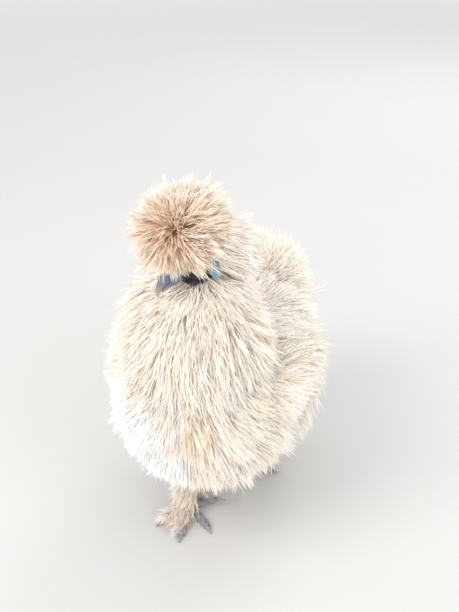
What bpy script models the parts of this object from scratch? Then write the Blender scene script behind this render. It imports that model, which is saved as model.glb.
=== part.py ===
"""A silkie hen, life size, standing still in mid stride with its head turned to its right.

The hen faces -Y, its left side is +X and the floor is z = 0. All sizes are in metres. Each named part is one
closed body. The coat is made of flat, tapered locks that grow from a core under them, out to the tips.
"""

import math
import random

import bmesh
import bpy
from mathutils import Matrix, Quaternion, Vector
from mathutils.bvhtree import BVHTree

# Room that touching meshes keep between them.
GAP = 0.0003

# An odd direction, along which no two corners or faces of a form share a place, for a fixed order of both.
SORT_WAY = Vector((1.0, 13.71, 171.39))

# Plan offset that brings the middle of the bounding box over the origin.
PLAN_SHIFT = Vector((0.0010, -0.0364, 0.0))

# Torso core, front to back: y, height of its middle, half width, half height.
TORSO_STATIONS = (
    (-0.080, 0.150, 0.000, 0.000),
    (-0.076, 0.149, 0.026, 0.029),
    (-0.058, 0.145, 0.049, 0.053),
    (-0.028, 0.138, 0.062, 0.064),
    (0.012, 0.133, 0.066, 0.064),
    (0.050, 0.136, 0.060, 0.056),
    (0.084, 0.146, 0.045, 0.043),
    (0.108, 0.156, 0.024, 0.024),
    (0.114, 0.158, 0.000, 0.000),
)

# Neck core, from inside the breast up to the back of the skull: middle, half width, half depth.
NECK_STATIONS = (
    ((0.000, -0.026, 0.160), 0.050, 0.048),
    ((0.001, -0.036, 0.196), 0.044, 0.043),
    ((0.005, -0.043, 0.228), 0.035, 0.034),
    ((0.011, -0.046, 0.252), 0.026, 0.024),
    ((0.015, -0.043, 0.270), 0.014, 0.013),
)

# The head turns to the hen's right and nods down. In its own frame +X is forward, +Y left and +Z up.
HEAD_PLACE = Vector((0.011, -0.055, 0.279))
HEAD_TURN = math.radians(38)
HEAD_NOD = math.radians(20)

# Skull, back to front: x, height of its middle, half width, half height. The beak meets its flat front.
SKULL_STATIONS = (
    (-0.0230, -0.001, 0.0000, 0.0000),
    (-0.0205, -0.001, 0.0085, 0.0090),
    (-0.0110, 0.000, 0.0142, 0.0150),
    (0.0020, 0.000, 0.0148, 0.0158),
    (0.0120, -0.001, 0.0118, 0.0128),
    (0.0200, -0.002, 0.0074, 0.0082),
)

EYE_PLACE = Vector((0.0060, 0.0106, 0.0030))
EYE_RADIUS = 0.0052
LID_RADIUS = 0.0050
LID_THICKNESS = 0.0013

# Beak halves, base to tip: x, height of their middle, half width, half height.
UPPER_BEAK = (
    (0.0185, 0.0004, 0.0062, 0.0052),
    (0.0260, 0.0000, 0.0051, 0.0047),
    (0.0310, -0.0015, 0.0038, 0.0040),
    (0.0355, -0.0042, 0.0025, 0.0031),
    (0.0388, -0.0080, 0.0013, 0.0019),
    (0.0400, -0.0115, 0.0000, 0.0000),
)
LOWER_BEAK = (
    (0.0185, -0.0066, 0.0056, 0.0030),
    (0.0260, -0.0075, 0.0045, 0.0027),
    (0.0305, -0.0087, 0.0032, 0.0021),
    (0.0340, -0.0101, 0.0017, 0.0012),
    (0.0356, -0.0107, 0.0000, 0.0000),
)
NOSTRIL_PLACE = Vector((0.0252, 0.0049, 0.0018))

COMB_PLACE = Vector((0.0125, 0.0, 0.0125))
COMB_BULBS = (
    (0.0000, 0.0000, 0.0040), (0.0044, 0.0000, 0.0031), (-0.0010, 0.0042, 0.0031),
    (-0.0010, -0.0042, 0.0031), (0.0042, 0.0030, 0.0026), (0.0042, -0.0030, 0.0026),
)
WATTLE_PLACE = Vector((0.0125, 0.0055, -0.0150))
WATTLE_SIZE = Vector((0.0046, 0.0024, 0.0064))
LOBE_PLACE = Vector((-0.0065, 0.0132, -0.0070))
LOBE_SIZE = Vector((0.0050, 0.0028, 0.0066))

CREST_PLACE = Vector((-0.002, 0.0, 0.0275))
CREST_SIZE = Vector((0.0300, 0.0300, 0.0260))
CREST_WHORL = Vector((0.006, 0.000, 0.060))

TAIL_PLACE = Vector((0.0, 0.122, 0.176))
TAIL_SIZE = Vector((0.033, 0.030, 0.034))

# Wing core on the hen's left, shoulder to tip: middle, half thickness, half depth.
WING_STATIONS = (
    ((0.052, -0.040, 0.158), 0.000, 0.000),
    ((0.056, -0.034, 0.156), 0.010, 0.018),
    ((0.064, -0.010, 0.150), 0.014, 0.030),
    ((0.066, 0.024, 0.142), 0.014, 0.031),
    ((0.062, 0.058, 0.134), 0.011, 0.024),
    ((0.056, 0.084, 0.128), 0.006, 0.012),
    ((0.054, 0.092, 0.126), 0.000, 0.000),
)

# Where each foot stands and each hock bends. The right foot leads and the left one trails.
FOOT_PLACES = {"right": Vector((-0.014, -0.024, 0.0)), "left": Vector((0.020, 0.078, 0.0))}
FOOT_TURN = {"right": math.radians(-8), "left": math.radians(-6)}
HOCK_RISE = 0.060
HOCK_BACK = 0.020
HIP_SPREAD = 0.036
THIGH_TOP = 0.112
THIGH_RADII = (0.034, 0.033, 0.026, 0.014, 0.010)
SHANK_RADII = (0.0064, 0.0054, 0.0051, 0.0055, 0.0062)
SHANK_PLATES = 7
PAD_SIZE = Vector((0.0086, 0.0086, 0.0076))
PAD_RISE = 0.0062

# Toes: turn from straight ahead towards the outside, length, radius at the root, and rise of the tip.
TOES = {
    "1": (-156, 0.019, 0.0034, 0.0),
    "2": (-42, 0.030, 0.0037, 0.0),
    "3": (0, 0.037, 0.0039, 0.0),
    "4": (40, 0.031, 0.0037, 0.0),
    "5": (-98, 0.024, 0.0034, 0.010),
}
TOE_PLATES = 5
TOE_SINK = 0.85
PLATE_SIDES = 7
PLATE_RAISE = 0.0005
CLAW_LENGTH = 0.0085

# Locks of the coat on each core: least distance between roots, length, width, and how far the tip stands out
# from the core.
LOCKS = {
    "crest": (0.0170, 0.034, 0.0170, 0.0165),
    "neck": (0.0245, 0.054, 0.0200, 0.017),
    "tail": (0.0255, 0.050, 0.0200, 0.022),
    "torso": (0.0300, 0.060, 0.0260, 0.021),
    "thigh": (0.0230, 0.040, 0.0190, 0.013),
}
LOCK_THICKNESS = 0.0024
LOCK_SINK = 0.0050
LOCK_DRAWS = 2500
FLOOR_ROOM = 0.0040
FUSE_TRIES = 12
NUDGE = 0.0001
SLIVER = 3e-7
ON_CORE = 0.0003
CREST_WHORL_RISE = 1.2

# Shares of the full length and lift that a lock is tried with, until it is clear of the other nodes.
LOCK_TRIES = ((1.0, 1.0), (0.85, 1.15), (0.7, 1.3), (0.7, 0.7), (0.55, 1.0), (0.45, 0.8))

# Rows of vanes on each wing, from the coverts to the flight feathers: height from the wing's middle line, the
# first and last distance back from the shoulder, number of vanes, length and width.
WING_ROWS = (
    (0.022, 0.006, 0.074, 5, 0.036, 0.0165),
    (0.004, 0.000, 0.094, 7, 0.045, 0.0165),
    (-0.014, 0.004, 0.088, 6, 0.050, 0.0155),
)
WING_LIFT = 0.0165

# Feathers down the outer side of each shank: height of the root, turn from the outside, length and lift.
SHANK_TUFTS = (
    (0.042, -56, 0.025, 0.0100), (0.036, 5, 0.027, 0.0080), (0.040, 63, 0.024, 0.0115),
    (0.022, -30, 0.024, 0.0070), (0.018, 34, 0.022, 0.0095),
)
SHANK_TUFT_WIDTH = 0.0090
SHANK_TUFT_SINK = 0.0028

WHITE = (0.83, 0.79, 0.72)
CREAM = (0.80, 0.70, 0.58)
BUFF = (0.76, 0.58, 0.43)
MULBERRY = (0.060, 0.050, 0.062)
SLATE = (0.22, 0.27, 0.35)
TURQUOISE = (0.16, 0.42, 0.50)
EYE_BROWN = (0.020, 0.012, 0.008)
SKIN_GREY = (0.17, 0.16, 0.18)
HORN = (0.30, 0.28, 0.27)


def clear_scene():
    for obj in list(bpy.data.objects):
        bpy.data.objects.remove(obj)


def new_collection(name):
    made = bpy.data.collections.new(name)
    bpy.context.scene.collection.children.link(made)
    return made


def new_material(name, colour, roughness):
    made = bpy.data.materials.new(name)
    made.use_nodes = True
    shader = made.node_tree.nodes["Principled BSDF"]
    shader.inputs["Base Color"].default_value = (*colour, 1.0)
    shader.inputs["Roughness"].default_value = roughness
    shader.inputs["Metallic"].default_value = 0.0
    return made


def head_matrix():
    turn = Matrix.Rotation(-math.pi / 2 - HEAD_TURN, 4, "Z")
    nod = Matrix.Rotation(HEAD_NOD, 4, "Y")
    return Matrix.Translation(HEAD_PLACE) @ turn @ nod


class Hen:
    """The parts made so far, by name, with the collection, empties and materials they use."""

    def __init__(self):
        self.parts = new_collection("silkie_hen")
        self.body = self.empty("hen_pose", None)
        self.head = self.empty("head_pose", self.body)
        self.body.location = PLAN_SHIFT
        self.head.matrix_local = head_matrix()
        self.nodes = {}
        self.materials = {}

    def empty(self, name, parent):
        made = bpy.data.objects.new(name, None)
        self.parts.objects.link(made)
        made.parent = parent
        return made

    def add(self, name, obj, parent, material):
        """Names obj as one of the hen's parts."""
        obj.name = name
        obj.parent = parent
        bpy.context.scene.collection.objects.unlink(obj)
        self.parts.objects.link(obj)
        if material[0] not in self.materials:
            self.materials[material[0]] = new_material(*material)
        obj.data.materials.clear()
        obj.data.materials.append(self.materials[material[0]])
        self.nodes[name] = obj
        return obj


PLUMAGE = ("plumage_white", WHITE, 0.85)
HACKLE = ("plumage_cream", CREAM, 0.85)
CREST_BUFF = ("plumage_buff", BUFF, 0.85)
FACE = ("face_skin", MULBERRY, 0.55)
BEAK = ("beak_horn", SLATE, 0.35)
LOBE = ("earlobe_skin", TURQUOISE, 0.50)
EYE = ("eye", EYE_BROWN, 0.05)
LEG = ("leg_scales", SKIN_GREY, 0.50)
CLAW = ("claw_horn", HORN, 0.40)


def object_from(bm, name="piece"):
    bm.verts.sort(key=lambda vert: vert.co.dot(SORT_WAY))
    bm.faces.sort(key=lambda face: face.calc_center_median().dot(SORT_WAY))
    mesh = bpy.data.meshes.new(name)
    bm.to_mesh(mesh)
    bm.free()
    obj = bpy.data.objects.new(name, mesh)
    bpy.context.scene.collection.objects.link(obj)
    return obj


def smooth_stations(stations, between):
    """Catmull-Rom points through rows of numbers, with some more between each two."""
    made = []
    count = len(stations)
    for i in range(count - 1):
        a, b, c, d = (stations[min(max(k, 0), count - 1)] for k in (i - 1, i, i + 1, i + 2))
        for step in range(between + 1):
            t = step / (between + 1)
            made.append(tuple(
                0.5 * (2 * q + (r - p) * t + (2 * p - 5 * q + 4 * r - s) * t**2 + (3 * q - p - 3 * r + s) * t**3)
                for p, q, r, s in zip(a, b, c, d)
            ))
    return made + [stations[-1]]


def loft(rows, side, sides, grow=0.0, floor_cut=None):
    """A closed form through rows of x, y, z, half width and half height. side is the way of the half width.

    A row at either end with no width becomes a point. floor_cut flattens each section's underside at that share
    of its half height, and None leaves it round.
    """
    bm = bmesh.new()
    centres = [Vector(row[:3]) for row in rows]
    rings = []
    for i, row in enumerate(rows):
        along = (centres[min(i + 1, len(rows) - 1)] - centres[max(i - 1, 0)]).normalized()
        across = (side - along * side.dot(along)).normalized()
        up = along.cross(across)
        middle = centres[i]
        if i in (0, len(rows) - 1):
            middle = middle + (along if i else -along) * grow
        if row[3] < 1e-6:
            rings.append([bm.verts.new(middle)])
            continue
        ring = []
        for k in range(sides):
            angle = 2 * math.pi * (k + 0.5) / sides
            low = -1.0 if floor_cut is None else -floor_cut
            rise = max(math.sin(angle), low)
            ring.append(bm.verts.new(
                middle + across * (row[3] + grow) * math.cos(angle) + up * (row[4] + grow) * rise
            ))
        rings.append(ring)
    for first, second in zip(rings, rings[1:]):
        for k in range(sides):
            n = (k + 1) % sides
            if len(first) == 1:
                bm.faces.new((first[0], second[n], second[k]))
            elif len(second) == 1:
                bm.faces.new((first[k], first[n], second[0]))
            else:
                bm.faces.new((first[k], first[n], second[n]))
                bm.faces.new((first[k], second[n], second[k]))
    if len(rings[0]) > 1:
        bm.faces.new(rings[0][::-1])
    if len(rings[-1]) > 1:
        bm.faces.new(rings[-1])
    bmesh.ops.recalc_face_normals(bm, faces=bm.faces)
    return object_from(bm)


def ball(place, size, segments, rings, grow=0.0):
    """An ellipsoid of those half sizes."""
    bm = bmesh.new()
    bmesh.ops.create_uvsphere(bm, u_segments=segments, v_segments=rings, radius=1.0)
    scale = Matrix.Diagonal((*(value + grow for value in size), 1.0))
    bm.transform(Matrix.Translation(place) @ scale)
    return object_from(bm)


def keep_largest(obj):
    """Leaves only the largest closed surface of obj."""
    bm = bmesh.new()
    bm.from_mesh(obj.data)
    seen = set()
    groups = []
    for first in bm.faces:
        if first in seen:
            continue
        seen.add(first)
        group = [first]
        for face in group:
            for edge in face.edges:
                for other in edge.link_faces:
                    if other not in seen:
                        seen.add(other)
                        group.append(other)
        groups.append(group)
    groups.sort(key=len)
    for group in groups[:-1]:
        bmesh.ops.delete(bm, geom=group, context="FACES")
    bm.to_mesh(obj.data)
    bm.free()


def combine(obj, others, operation, solver):
    """Joins obj with closed meshes or cuts it by them, in one Boolean, and removes them."""
    pieces = new_collection("pieces")
    for other in others:
        bpy.context.scene.collection.objects.unlink(other)
        pieces.objects.link(other)
    modifier = obj.modifiers.new("pieces", "BOOLEAN")
    modifier.operand_type = "COLLECTION"
    modifier.collection = pieces
    modifier.operation = operation
    modifier.solver = solver
    bpy.context.view_layer.update()
    graph = bpy.context.evaluated_depsgraph_get()
    mesh = bpy.data.meshes.new_from_object(obj.evaluated_get(graph))
    obj.modifiers.clear()
    obj.data = mesh
    for other in others:
        bpy.data.objects.remove(other)
    bpy.data.collections.remove(pieces)
    keep_largest(obj)
    return obj


def cut(obj, *others, solver="EXACT"):
    return combine(obj, list(others), "DIFFERENCE", solver)


def join(obj, *others, solver="EXACT"):
    return combine(obj, list(others), "UNION", solver)


def moved(obj, matrix):
    obj.data.transform(matrix)
    return obj


def flipped(obj, axis=1):
    """Turns a piece into its twin on the other side of its own frame."""
    scale = [1.0, 1.0, 1.0, 1.0]
    scale[axis] = -1.0
    obj.data.transform(Matrix.Diagonal(scale))
    obj.data.flip_normals()
    return obj


SIDES = {"left": 1.0, "right": -1.0}


def side_rows(rows, side):
    """Rows of x, y, z and two half sizes, carried over to that side of the hen."""
    return [(row[0] * SIDES[side], *row[1:]) for row in rows]


def torso_form(grow=0.0):
    rows = [(0.0, *row) for row in smooth_stations(TORSO_STATIONS, 1)]
    return loft(rows, Vector((1, 0, 0)), 18, grow)


def neck_form(grow=0.0):
    rows = smooth_stations([(*place, width, depth) for place, width, depth in NECK_STATIONS], 1)
    return loft(rows, Vector((1, 0, 0)), 16, grow)


def skull_form(grow=0.0):
    rows = smooth_stations([(x, 0.0, z, w, h) for x, z, w, h in SKULL_STATIONS], 1)
    return loft(rows, Vector((0, 1, 0)), 16, grow)


def tail_form(grow=0.0):
    return ball(TAIL_PLACE, TAIL_SIZE, 16, 10, grow)


def crest_form(grow=0.0):
    return ball(CREST_PLACE, CREST_SIZE, 16, 10, grow)


def wing_form(side, grow=0.0):
    rows = side_rows([(*place, width, depth) for place, width, depth in WING_STATIONS], side)
    return loft(smooth_stations(rows, 1), Vector((1, 0, 0)), 10, grow)


def hock_place(side):
    foot = FOOT_PLACES[side]
    return Vector((foot.x * 1.10, foot.y + HOCK_BACK, HOCK_RISE))


def thigh_form(side, grow=0.0):
    hock = hock_place(side)
    hip = Vector((HIP_SPREAD * SIDES[side], hock.y * 0.55 + 0.004, THIGH_TOP))
    rows = []
    for i, radius in enumerate(THIGH_RADII):
        place = hip.lerp(hock, i / (len(THIGH_RADII) - 1))
        rows.append((*place, radius, radius * 1.15))
    return loft(smooth_stations(rows, 1), Vector((1, 0, 0)), 12, grow)


def plated(points, radii, plates, side, grow):
    """A limb whose front or top is covered by raised plates, each a step above the start of the next."""
    rings = []
    count = len(points) - 1
    for plate in range(plates):
        for share, lift in ((0.0, 0.0), (0.45, 1.0), (0.93, 1.0)):
            t = (plate + share) / plates * count
            i = min(int(t), count - 1)
            place = points[i].lerp(points[i + 1], t - i)
            radius = radii[i] + (radii[i + 1] - radii[i]) * (t - i)
            rings.append((place, radius, lift))
    rings.append((points[-1], radii[-1], 0.0))
    bm = bmesh.new()
    made = []
    for i, (place, radius, lift) in enumerate(rings):
        along = (rings[min(i + 1, len(rings) - 1)][0] - rings[max(i - 1, 0)][0]).normalized()
        across = (side - along * side.dot(along)).normalized()
        up = along.cross(across)
        ring = []
        for k in range(PLATE_SIDES):
            angle = 2 * math.pi * (k + 0.5) / PLATE_SIDES
            reach = radius + grow + (PLATE_RAISE * lift if math.sin(angle) > 0.3 else 0.0)
            ring.append(bm.verts.new(place + (across * math.cos(angle) + up * math.sin(angle)) * reach))
        made.append(ring)
    for first, second in zip(made, made[1:]):
        for k in range(PLATE_SIDES):
            n = (k + 1) % PLATE_SIDES
            bm.faces.new((first[k], first[n], second[n]))
            bm.faces.new((first[k], second[n], second[k]))
    bm.faces.new(made[0][::-1])
    bm.faces.new(made[-1])
    bmesh.ops.recalc_face_normals(bm, faces=bm.faces)
    return object_from(bm)


def shank_form(side, grow=0.0):
    """The scaled shank from the hock down, with the pad that the toes grow from."""
    foot = FOOT_PLACES[side] + Vector((0, 0, PAD_RISE))
    hock = hock_place(side)
    count = len(SHANK_RADII)
    points = [hock.lerp(foot, i / (count - 1)) for i in range(count)]
    shank = plated(points, SHANK_RADII, SHANK_PLATES, Vector((-1, 0, 0)), grow)
    return join(shank, ball(foot, PAD_SIZE, 14, 10, grow))


def toe_frame(side, toe):
    """Root, direction on the floor, length, radius and rise of one toe."""
    turn, length, radius, rise = TOES[toe]
    angle = FOOT_TURN[side] - math.radians(turn) * SIDES[side]
    ahead = Vector((-math.sin(angle), -math.cos(angle), 0.0))
    return FOOT_PLACES[side], ahead, length, radius, rise


def toe_form(side, toe, grow=0.0):
    root, ahead, length, radius, rise = toe_frame(side, toe)
    points, radii = [], []
    for i in range(6):
        t = i / 5
        thickness = radius * (1.0 - 0.22 * t + 0.06 * math.sin(9.0 * t))
        points.append(root + ahead * (length * t) + Vector((0, 0, thickness * TOE_SINK + rise * t)))
        radii.append(thickness)
    return plated(points, radii, TOE_PLATES, Vector((0, 0, 1)).cross(ahead), grow)


def claw_form(side, toe):
    """A down-curved claw from the end of its toe."""
    root, ahead, length, radius, rise = toe_frame(side, toe)
    girth = radius * 0.62
    tilt = rise / length
    start = root + ahead * (length + GAP) + Vector((0, 0, radius * 0.80 * TOE_SINK + rise + GAP * tilt))
    drop = min(start.z - 0.0010, CLAW_LENGTH * 0.45)
    rows = []
    for t in (0.0, 0.25, 0.50, 0.75, 1.0):
        place = start + ahead * (CLAW_LENGTH * t) + Vector((0, 0, tilt * CLAW_LENGTH * t - drop * t * t))
        rows.append((*place, girth * (1.0 - t) ** 0.75, girth * 1.1 * (1.0 - t) ** 0.75))
    return loft(rows, Vector((0, 0, 1)).cross(ahead), 8)


def floor_block():
    """Cuts flat whatever stands on the floor."""
    bm = bmesh.new()
    bmesh.ops.create_cube(bm, size=1.0)
    bm.transform(Matrix.Translation((0, 0, -0.5)))
    return object_from(bm)


def beak_form(rows, flat, grow=0.0):
    rows = smooth_stations([(x, 0.0, z, w, h) for x, z, w, h in rows], 1)
    return loft(rows, Vector((0, 1, 0)), 12, grow, flat)


def eye_ball(grow=0.0):
    return ball(EYE_PLACE, Vector((EYE_RADIUS,) * 3), 14, 10, grow)


def lid_ring(grow=0.0):
    """The rim of bare skin round the left eye."""
    bm = bmesh.new()
    rings = []
    for i in range(14):
        round_eye = 2 * math.pi * i / 14
        way = Vector((math.cos(round_eye), math.sin(round_eye), 0.0))
        ring = []
        for k in range(6):
            round_rim = 2 * math.pi * k / 6
            reach = LID_RADIUS + (LID_THICKNESS + grow) * math.cos(round_rim)
            rise = (LID_THICKNESS + grow) * math.sin(round_rim)
            ring.append(bm.verts.new(way * reach + Vector((0, 0, rise))))
        rings.append(ring)
    for i in range(14):
        first, second = rings[i], rings[(i + 1) % 14]
        for k in range(6):
            bm.faces.new((first[k], second[k], second[(k + 1) % 6], first[(k + 1) % 6]))
    bmesh.ops.recalc_face_normals(bm, faces=bm.faces)
    out = Vector((0.10, 1.0, 0.05)).normalized()
    facing = out.to_track_quat("Z", "X").to_matrix().to_4x4()
    return moved(object_from(bm), Matrix.Translation(EYE_PLACE + out * 0.0018) @ facing)


def comb_form(grow=0.0):
    """A low cushion comb of small bulbs."""
    bulbs = []
    for forward, across, size in COMB_BULBS:
        place = COMB_PLACE + Vector((forward, across, -abs(across) * 0.25 - max(forward, 0.0) * 0.35))
        bulbs.append(ball(place, Vector((size,) * 3), 8, 5, grow))
    return join(bulbs[0], *bulbs[1:])


def lobe_form(grow=0.0):
    return ball(LOBE_PLACE, LOBE_SIZE, 12, 8, grow)


def wattle_form(grow=0.0):
    return ball(WATTLE_PLACE, WATTLE_SIZE, 10, 8, grow)


def bare_head():
    """Grown copies of what stands bare on the head, on both sides, for cutting the coat round it."""
    pieces = [skull_form(GAP), comb_form(GAP)]
    pieces += [beak_form(UPPER_BEAK, 0.45, GAP), beak_form(LOWER_BEAK, None, GAP)]
    for form in (eye_ball, lid_ring, lobe_form, wattle_form):
        pieces += [form(GAP), flipped(form(GAP))]
    return pieces


def make_head(hen):
    """Skull with its lids, beak, eyes, comb, wattles and earlobes, all in the head's own frame."""
    skull = join(skull_form(), lid_ring(), flipped(lid_ring()))
    hen.add("head", cut(skull, eye_ball(GAP), flipped(eye_ball(GAP))), hen.head, FACE)
    for side in SIDES:
        wattle = cut(wattle_form(), skull_form(GAP), beak_form(LOWER_BEAK, None, GAP))
        lobe = cut(lobe_form(), skull_form(GAP))
        sides = (("eye", eye_ball(), EYE), ("wattle", wattle, FACE), ("earlobe", lobe, LOBE))
        for name, piece, material in sides:
            if side == "right":
                flipped(piece)
            hen.add(f"{name}_{side}", piece, hen.head, material)
    nostrils = [ball(NOSTRIL_PLACE, Vector((0.0016, 0.0012, 0.0008)), 8, 6) for side in SIDES]
    flipped(nostrils[1])
    hen.add("beak_upper", cut(beak_form(UPPER_BEAK, 0.45), skull_form(GAP), *nostrils), hen.head, BEAK)
    lower = cut(beak_form(LOWER_BEAK, None), skull_form(GAP), beak_form(UPPER_BEAK, 0.45, GAP))
    hen.add("beak_lower", lower, hen.head, BEAK)
    hen.add("comb", cut(comb_form(), skull_form(GAP), beak_form(UPPER_BEAK, 0.45, GAP)), hen.head, FACE)


def make_feet(hen):
    """Toes and claws, each toe cut where it meets the shank's pad and the toes made before it."""
    for side in SIDES:
        earlier = []
        for toe in ("3", "2", "4", "1", "5"):
            cutters = [shank_form(side, GAP), floor_block()]
            cutters += [toe_form(side, other, GAP) for other in earlier]
            hen.add(f"toe_{side}_{toe}", cut(toe_form(side, toe), *cutters), hen.body, LEG)
            hen.add(f"claw_{side}_{toe}", claw_form(side, toe), hen.body, CLAW)
            earlier.append(toe)


def make_cores():
    """Each node that carries feathers, without them, cut to meet its neighbours. All in the hen's frame."""
    place = head_matrix()
    cores = {"torso": torso_form()}
    head_room = [moved(one, place) for one in (*bare_head(), crest_form(GAP))]
    cores["neck"] = cut(neck_form(), torso_form(GAP), *head_room)
    cores["crest"] = moved(cut(crest_form(), *bare_head()), place)
    cores["tail"] = cut(tail_form(), torso_form(GAP))
    for side in SIDES:
        cores[f"wing_{side}"] = cut(wing_form(side), torso_form(GAP), neck_form(GAP))
        cores[f"thigh_{side}"] = cut(thigh_form(side), torso_form(GAP), wing_form(side, GAP))
        cores[f"shank_{side}"] = cut(shank_form(side), thigh_form(side, GAP), floor_block())
    return cores


def tree_of(obj, matrix=None):
    verts = [matrix @ v.co if matrix else v.co.copy() for v in obj.data.vertices]
    return BVHTree.FromPolygons(verts, [tuple(face.vertices) for face in obj.data.polygons])


def outer_skin():
    """The surface of all the cores as one, along which the feathers lie."""
    place = head_matrix()
    forms = [neck_form(), tail_form(), moved(crest_form(), place), moved(skull_form(), place)]
    for side in SIDES:
        forms += [wing_form(side), thigh_form(side), shank_form(side)]
    whole = join(torso_form(), *forms)
    skin = tree_of(whole)
    bpy.data.objects.remove(whole)
    return skin


def lie_at(name, place):
    """The way feathers lie at a place, before it is laid along the skin."""
    out = 1.0 if place.x > 0 else -1.0
    if name == "crest":
        return place - head_matrix() @ CREST_WHORL
    if name == "neck":
        return Vector((place.x * 6.0, (place.y - NECK_STATIONS[1][0][1]) * 3.0, -1.0))
    if name == "tail":
        away = place - TAIL_PLACE
        return Vector((away.x * 16.0, 0.9, away.z * 8.0 - 0.35))
    if name.startswith("thigh"):
        return Vector((out * 0.10, 0.20, -1.0))
    return Vector((place.x * 4.0, 0.60, -0.75))


def lock(skin, root, name, length, width, lift, turn, grow=0.0, way=None, sink=LOCK_SINK):
    """A flat, tapered lock that follows the skin from its root and rises from it to a pointed tip."""
    stops = (0.0, 0.32, 0.66, 1.0)
    place, normal, spine = root, None, []
    for i, stop in enumerate(stops):
        if i:
            step = length * (stop - stops[i - 1])
            place = skin.find_nearest(place + forward * step)[0]
        normal = skin.find_nearest(place)[1]
        pull = way if way else lie_at(name, place)
        forward = (pull - normal * pull.dot(normal)).normalized()
        forward.rotate(Quaternion(normal, turn * (0.4 + stop)))
        height = -sink + (lift + sink) * stop**0.8
        centre = place + normal * height
        centre.z = max(centre.z, FLOOR_ROOM)
        spine.append((centre, normal))
    bm = bmesh.new()
    rings = []
    for i, (centre, normal) in enumerate(spine):
        before, after = spine[max(i - 1, 0)][0], spine[min(i + 1, len(spine) - 1)][0]
        along = (after - before).normalized()
        if i == len(spine) - 1:
            rings.append([bm.verts.new(centre + along * grow * 2.0)])
            continue
        across = along.cross(normal).normalized()
        up = across.cross(along)
        half = width * (0.30, 0.50, 0.36)[i] + grow
        thick = LOCK_THICKNESS * (0.50, 0.55, 0.45)[i] + grow
        base = centre - along * (grow if i == 0 else 0.0)
        ways_out = (across * half, up * thick, -across * half, -up * thick)
        rings.append([bm.verts.new(base + way_out) for way_out in ways_out])
    for first, second in zip(rings, rings[1:]):
        for k in range(4):
            n = (k + 1) % 4
            if len(second) == 1:
                bm.faces.new((first[k], first[n], second[0]))
            elif k % 2 == 0:
                bm.faces.new((first[k], first[n], second[n]))
                bm.faces.new((first[k], second[n], second[k]))
            else:
                bm.faces.new((first[k], first[n], second[k]))
                bm.faces.new((first[n], second[n], second[k]))
    bm.faces.new(rings[0][::-1])
    bmesh.ops.recalc_face_normals(bm, faces=bm.faces)
    return bm


def copied(obj):
    made = bpy.data.objects.new("piece", obj.data.copy())
    bpy.context.scene.collection.objects.link(made)
    return made


def triangulated(obj):
    bm = bmesh.new()
    bm.from_mesh(obj.data)
    bmesh.ops.triangulate(bm, faces=bm.faces)
    bm.to_mesh(obj.data)
    bm.free()
    return obj


def faults(obj):
    """Places where a mesh is open or touches itself."""
    bm = bmesh.new()
    bm.from_mesh(obj.data)
    bmesh.ops.remove_doubles(bm, verts=bm.verts, dist=SLIVER)
    spots = [(edge.verts[0].co + edge.verts[1].co) / 2 for edge in bm.edges if len(edge.link_faces) != 2]
    bm.free()
    return sorted(spots, key=lambda spot: spot.dot(SORT_WAY))


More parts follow.
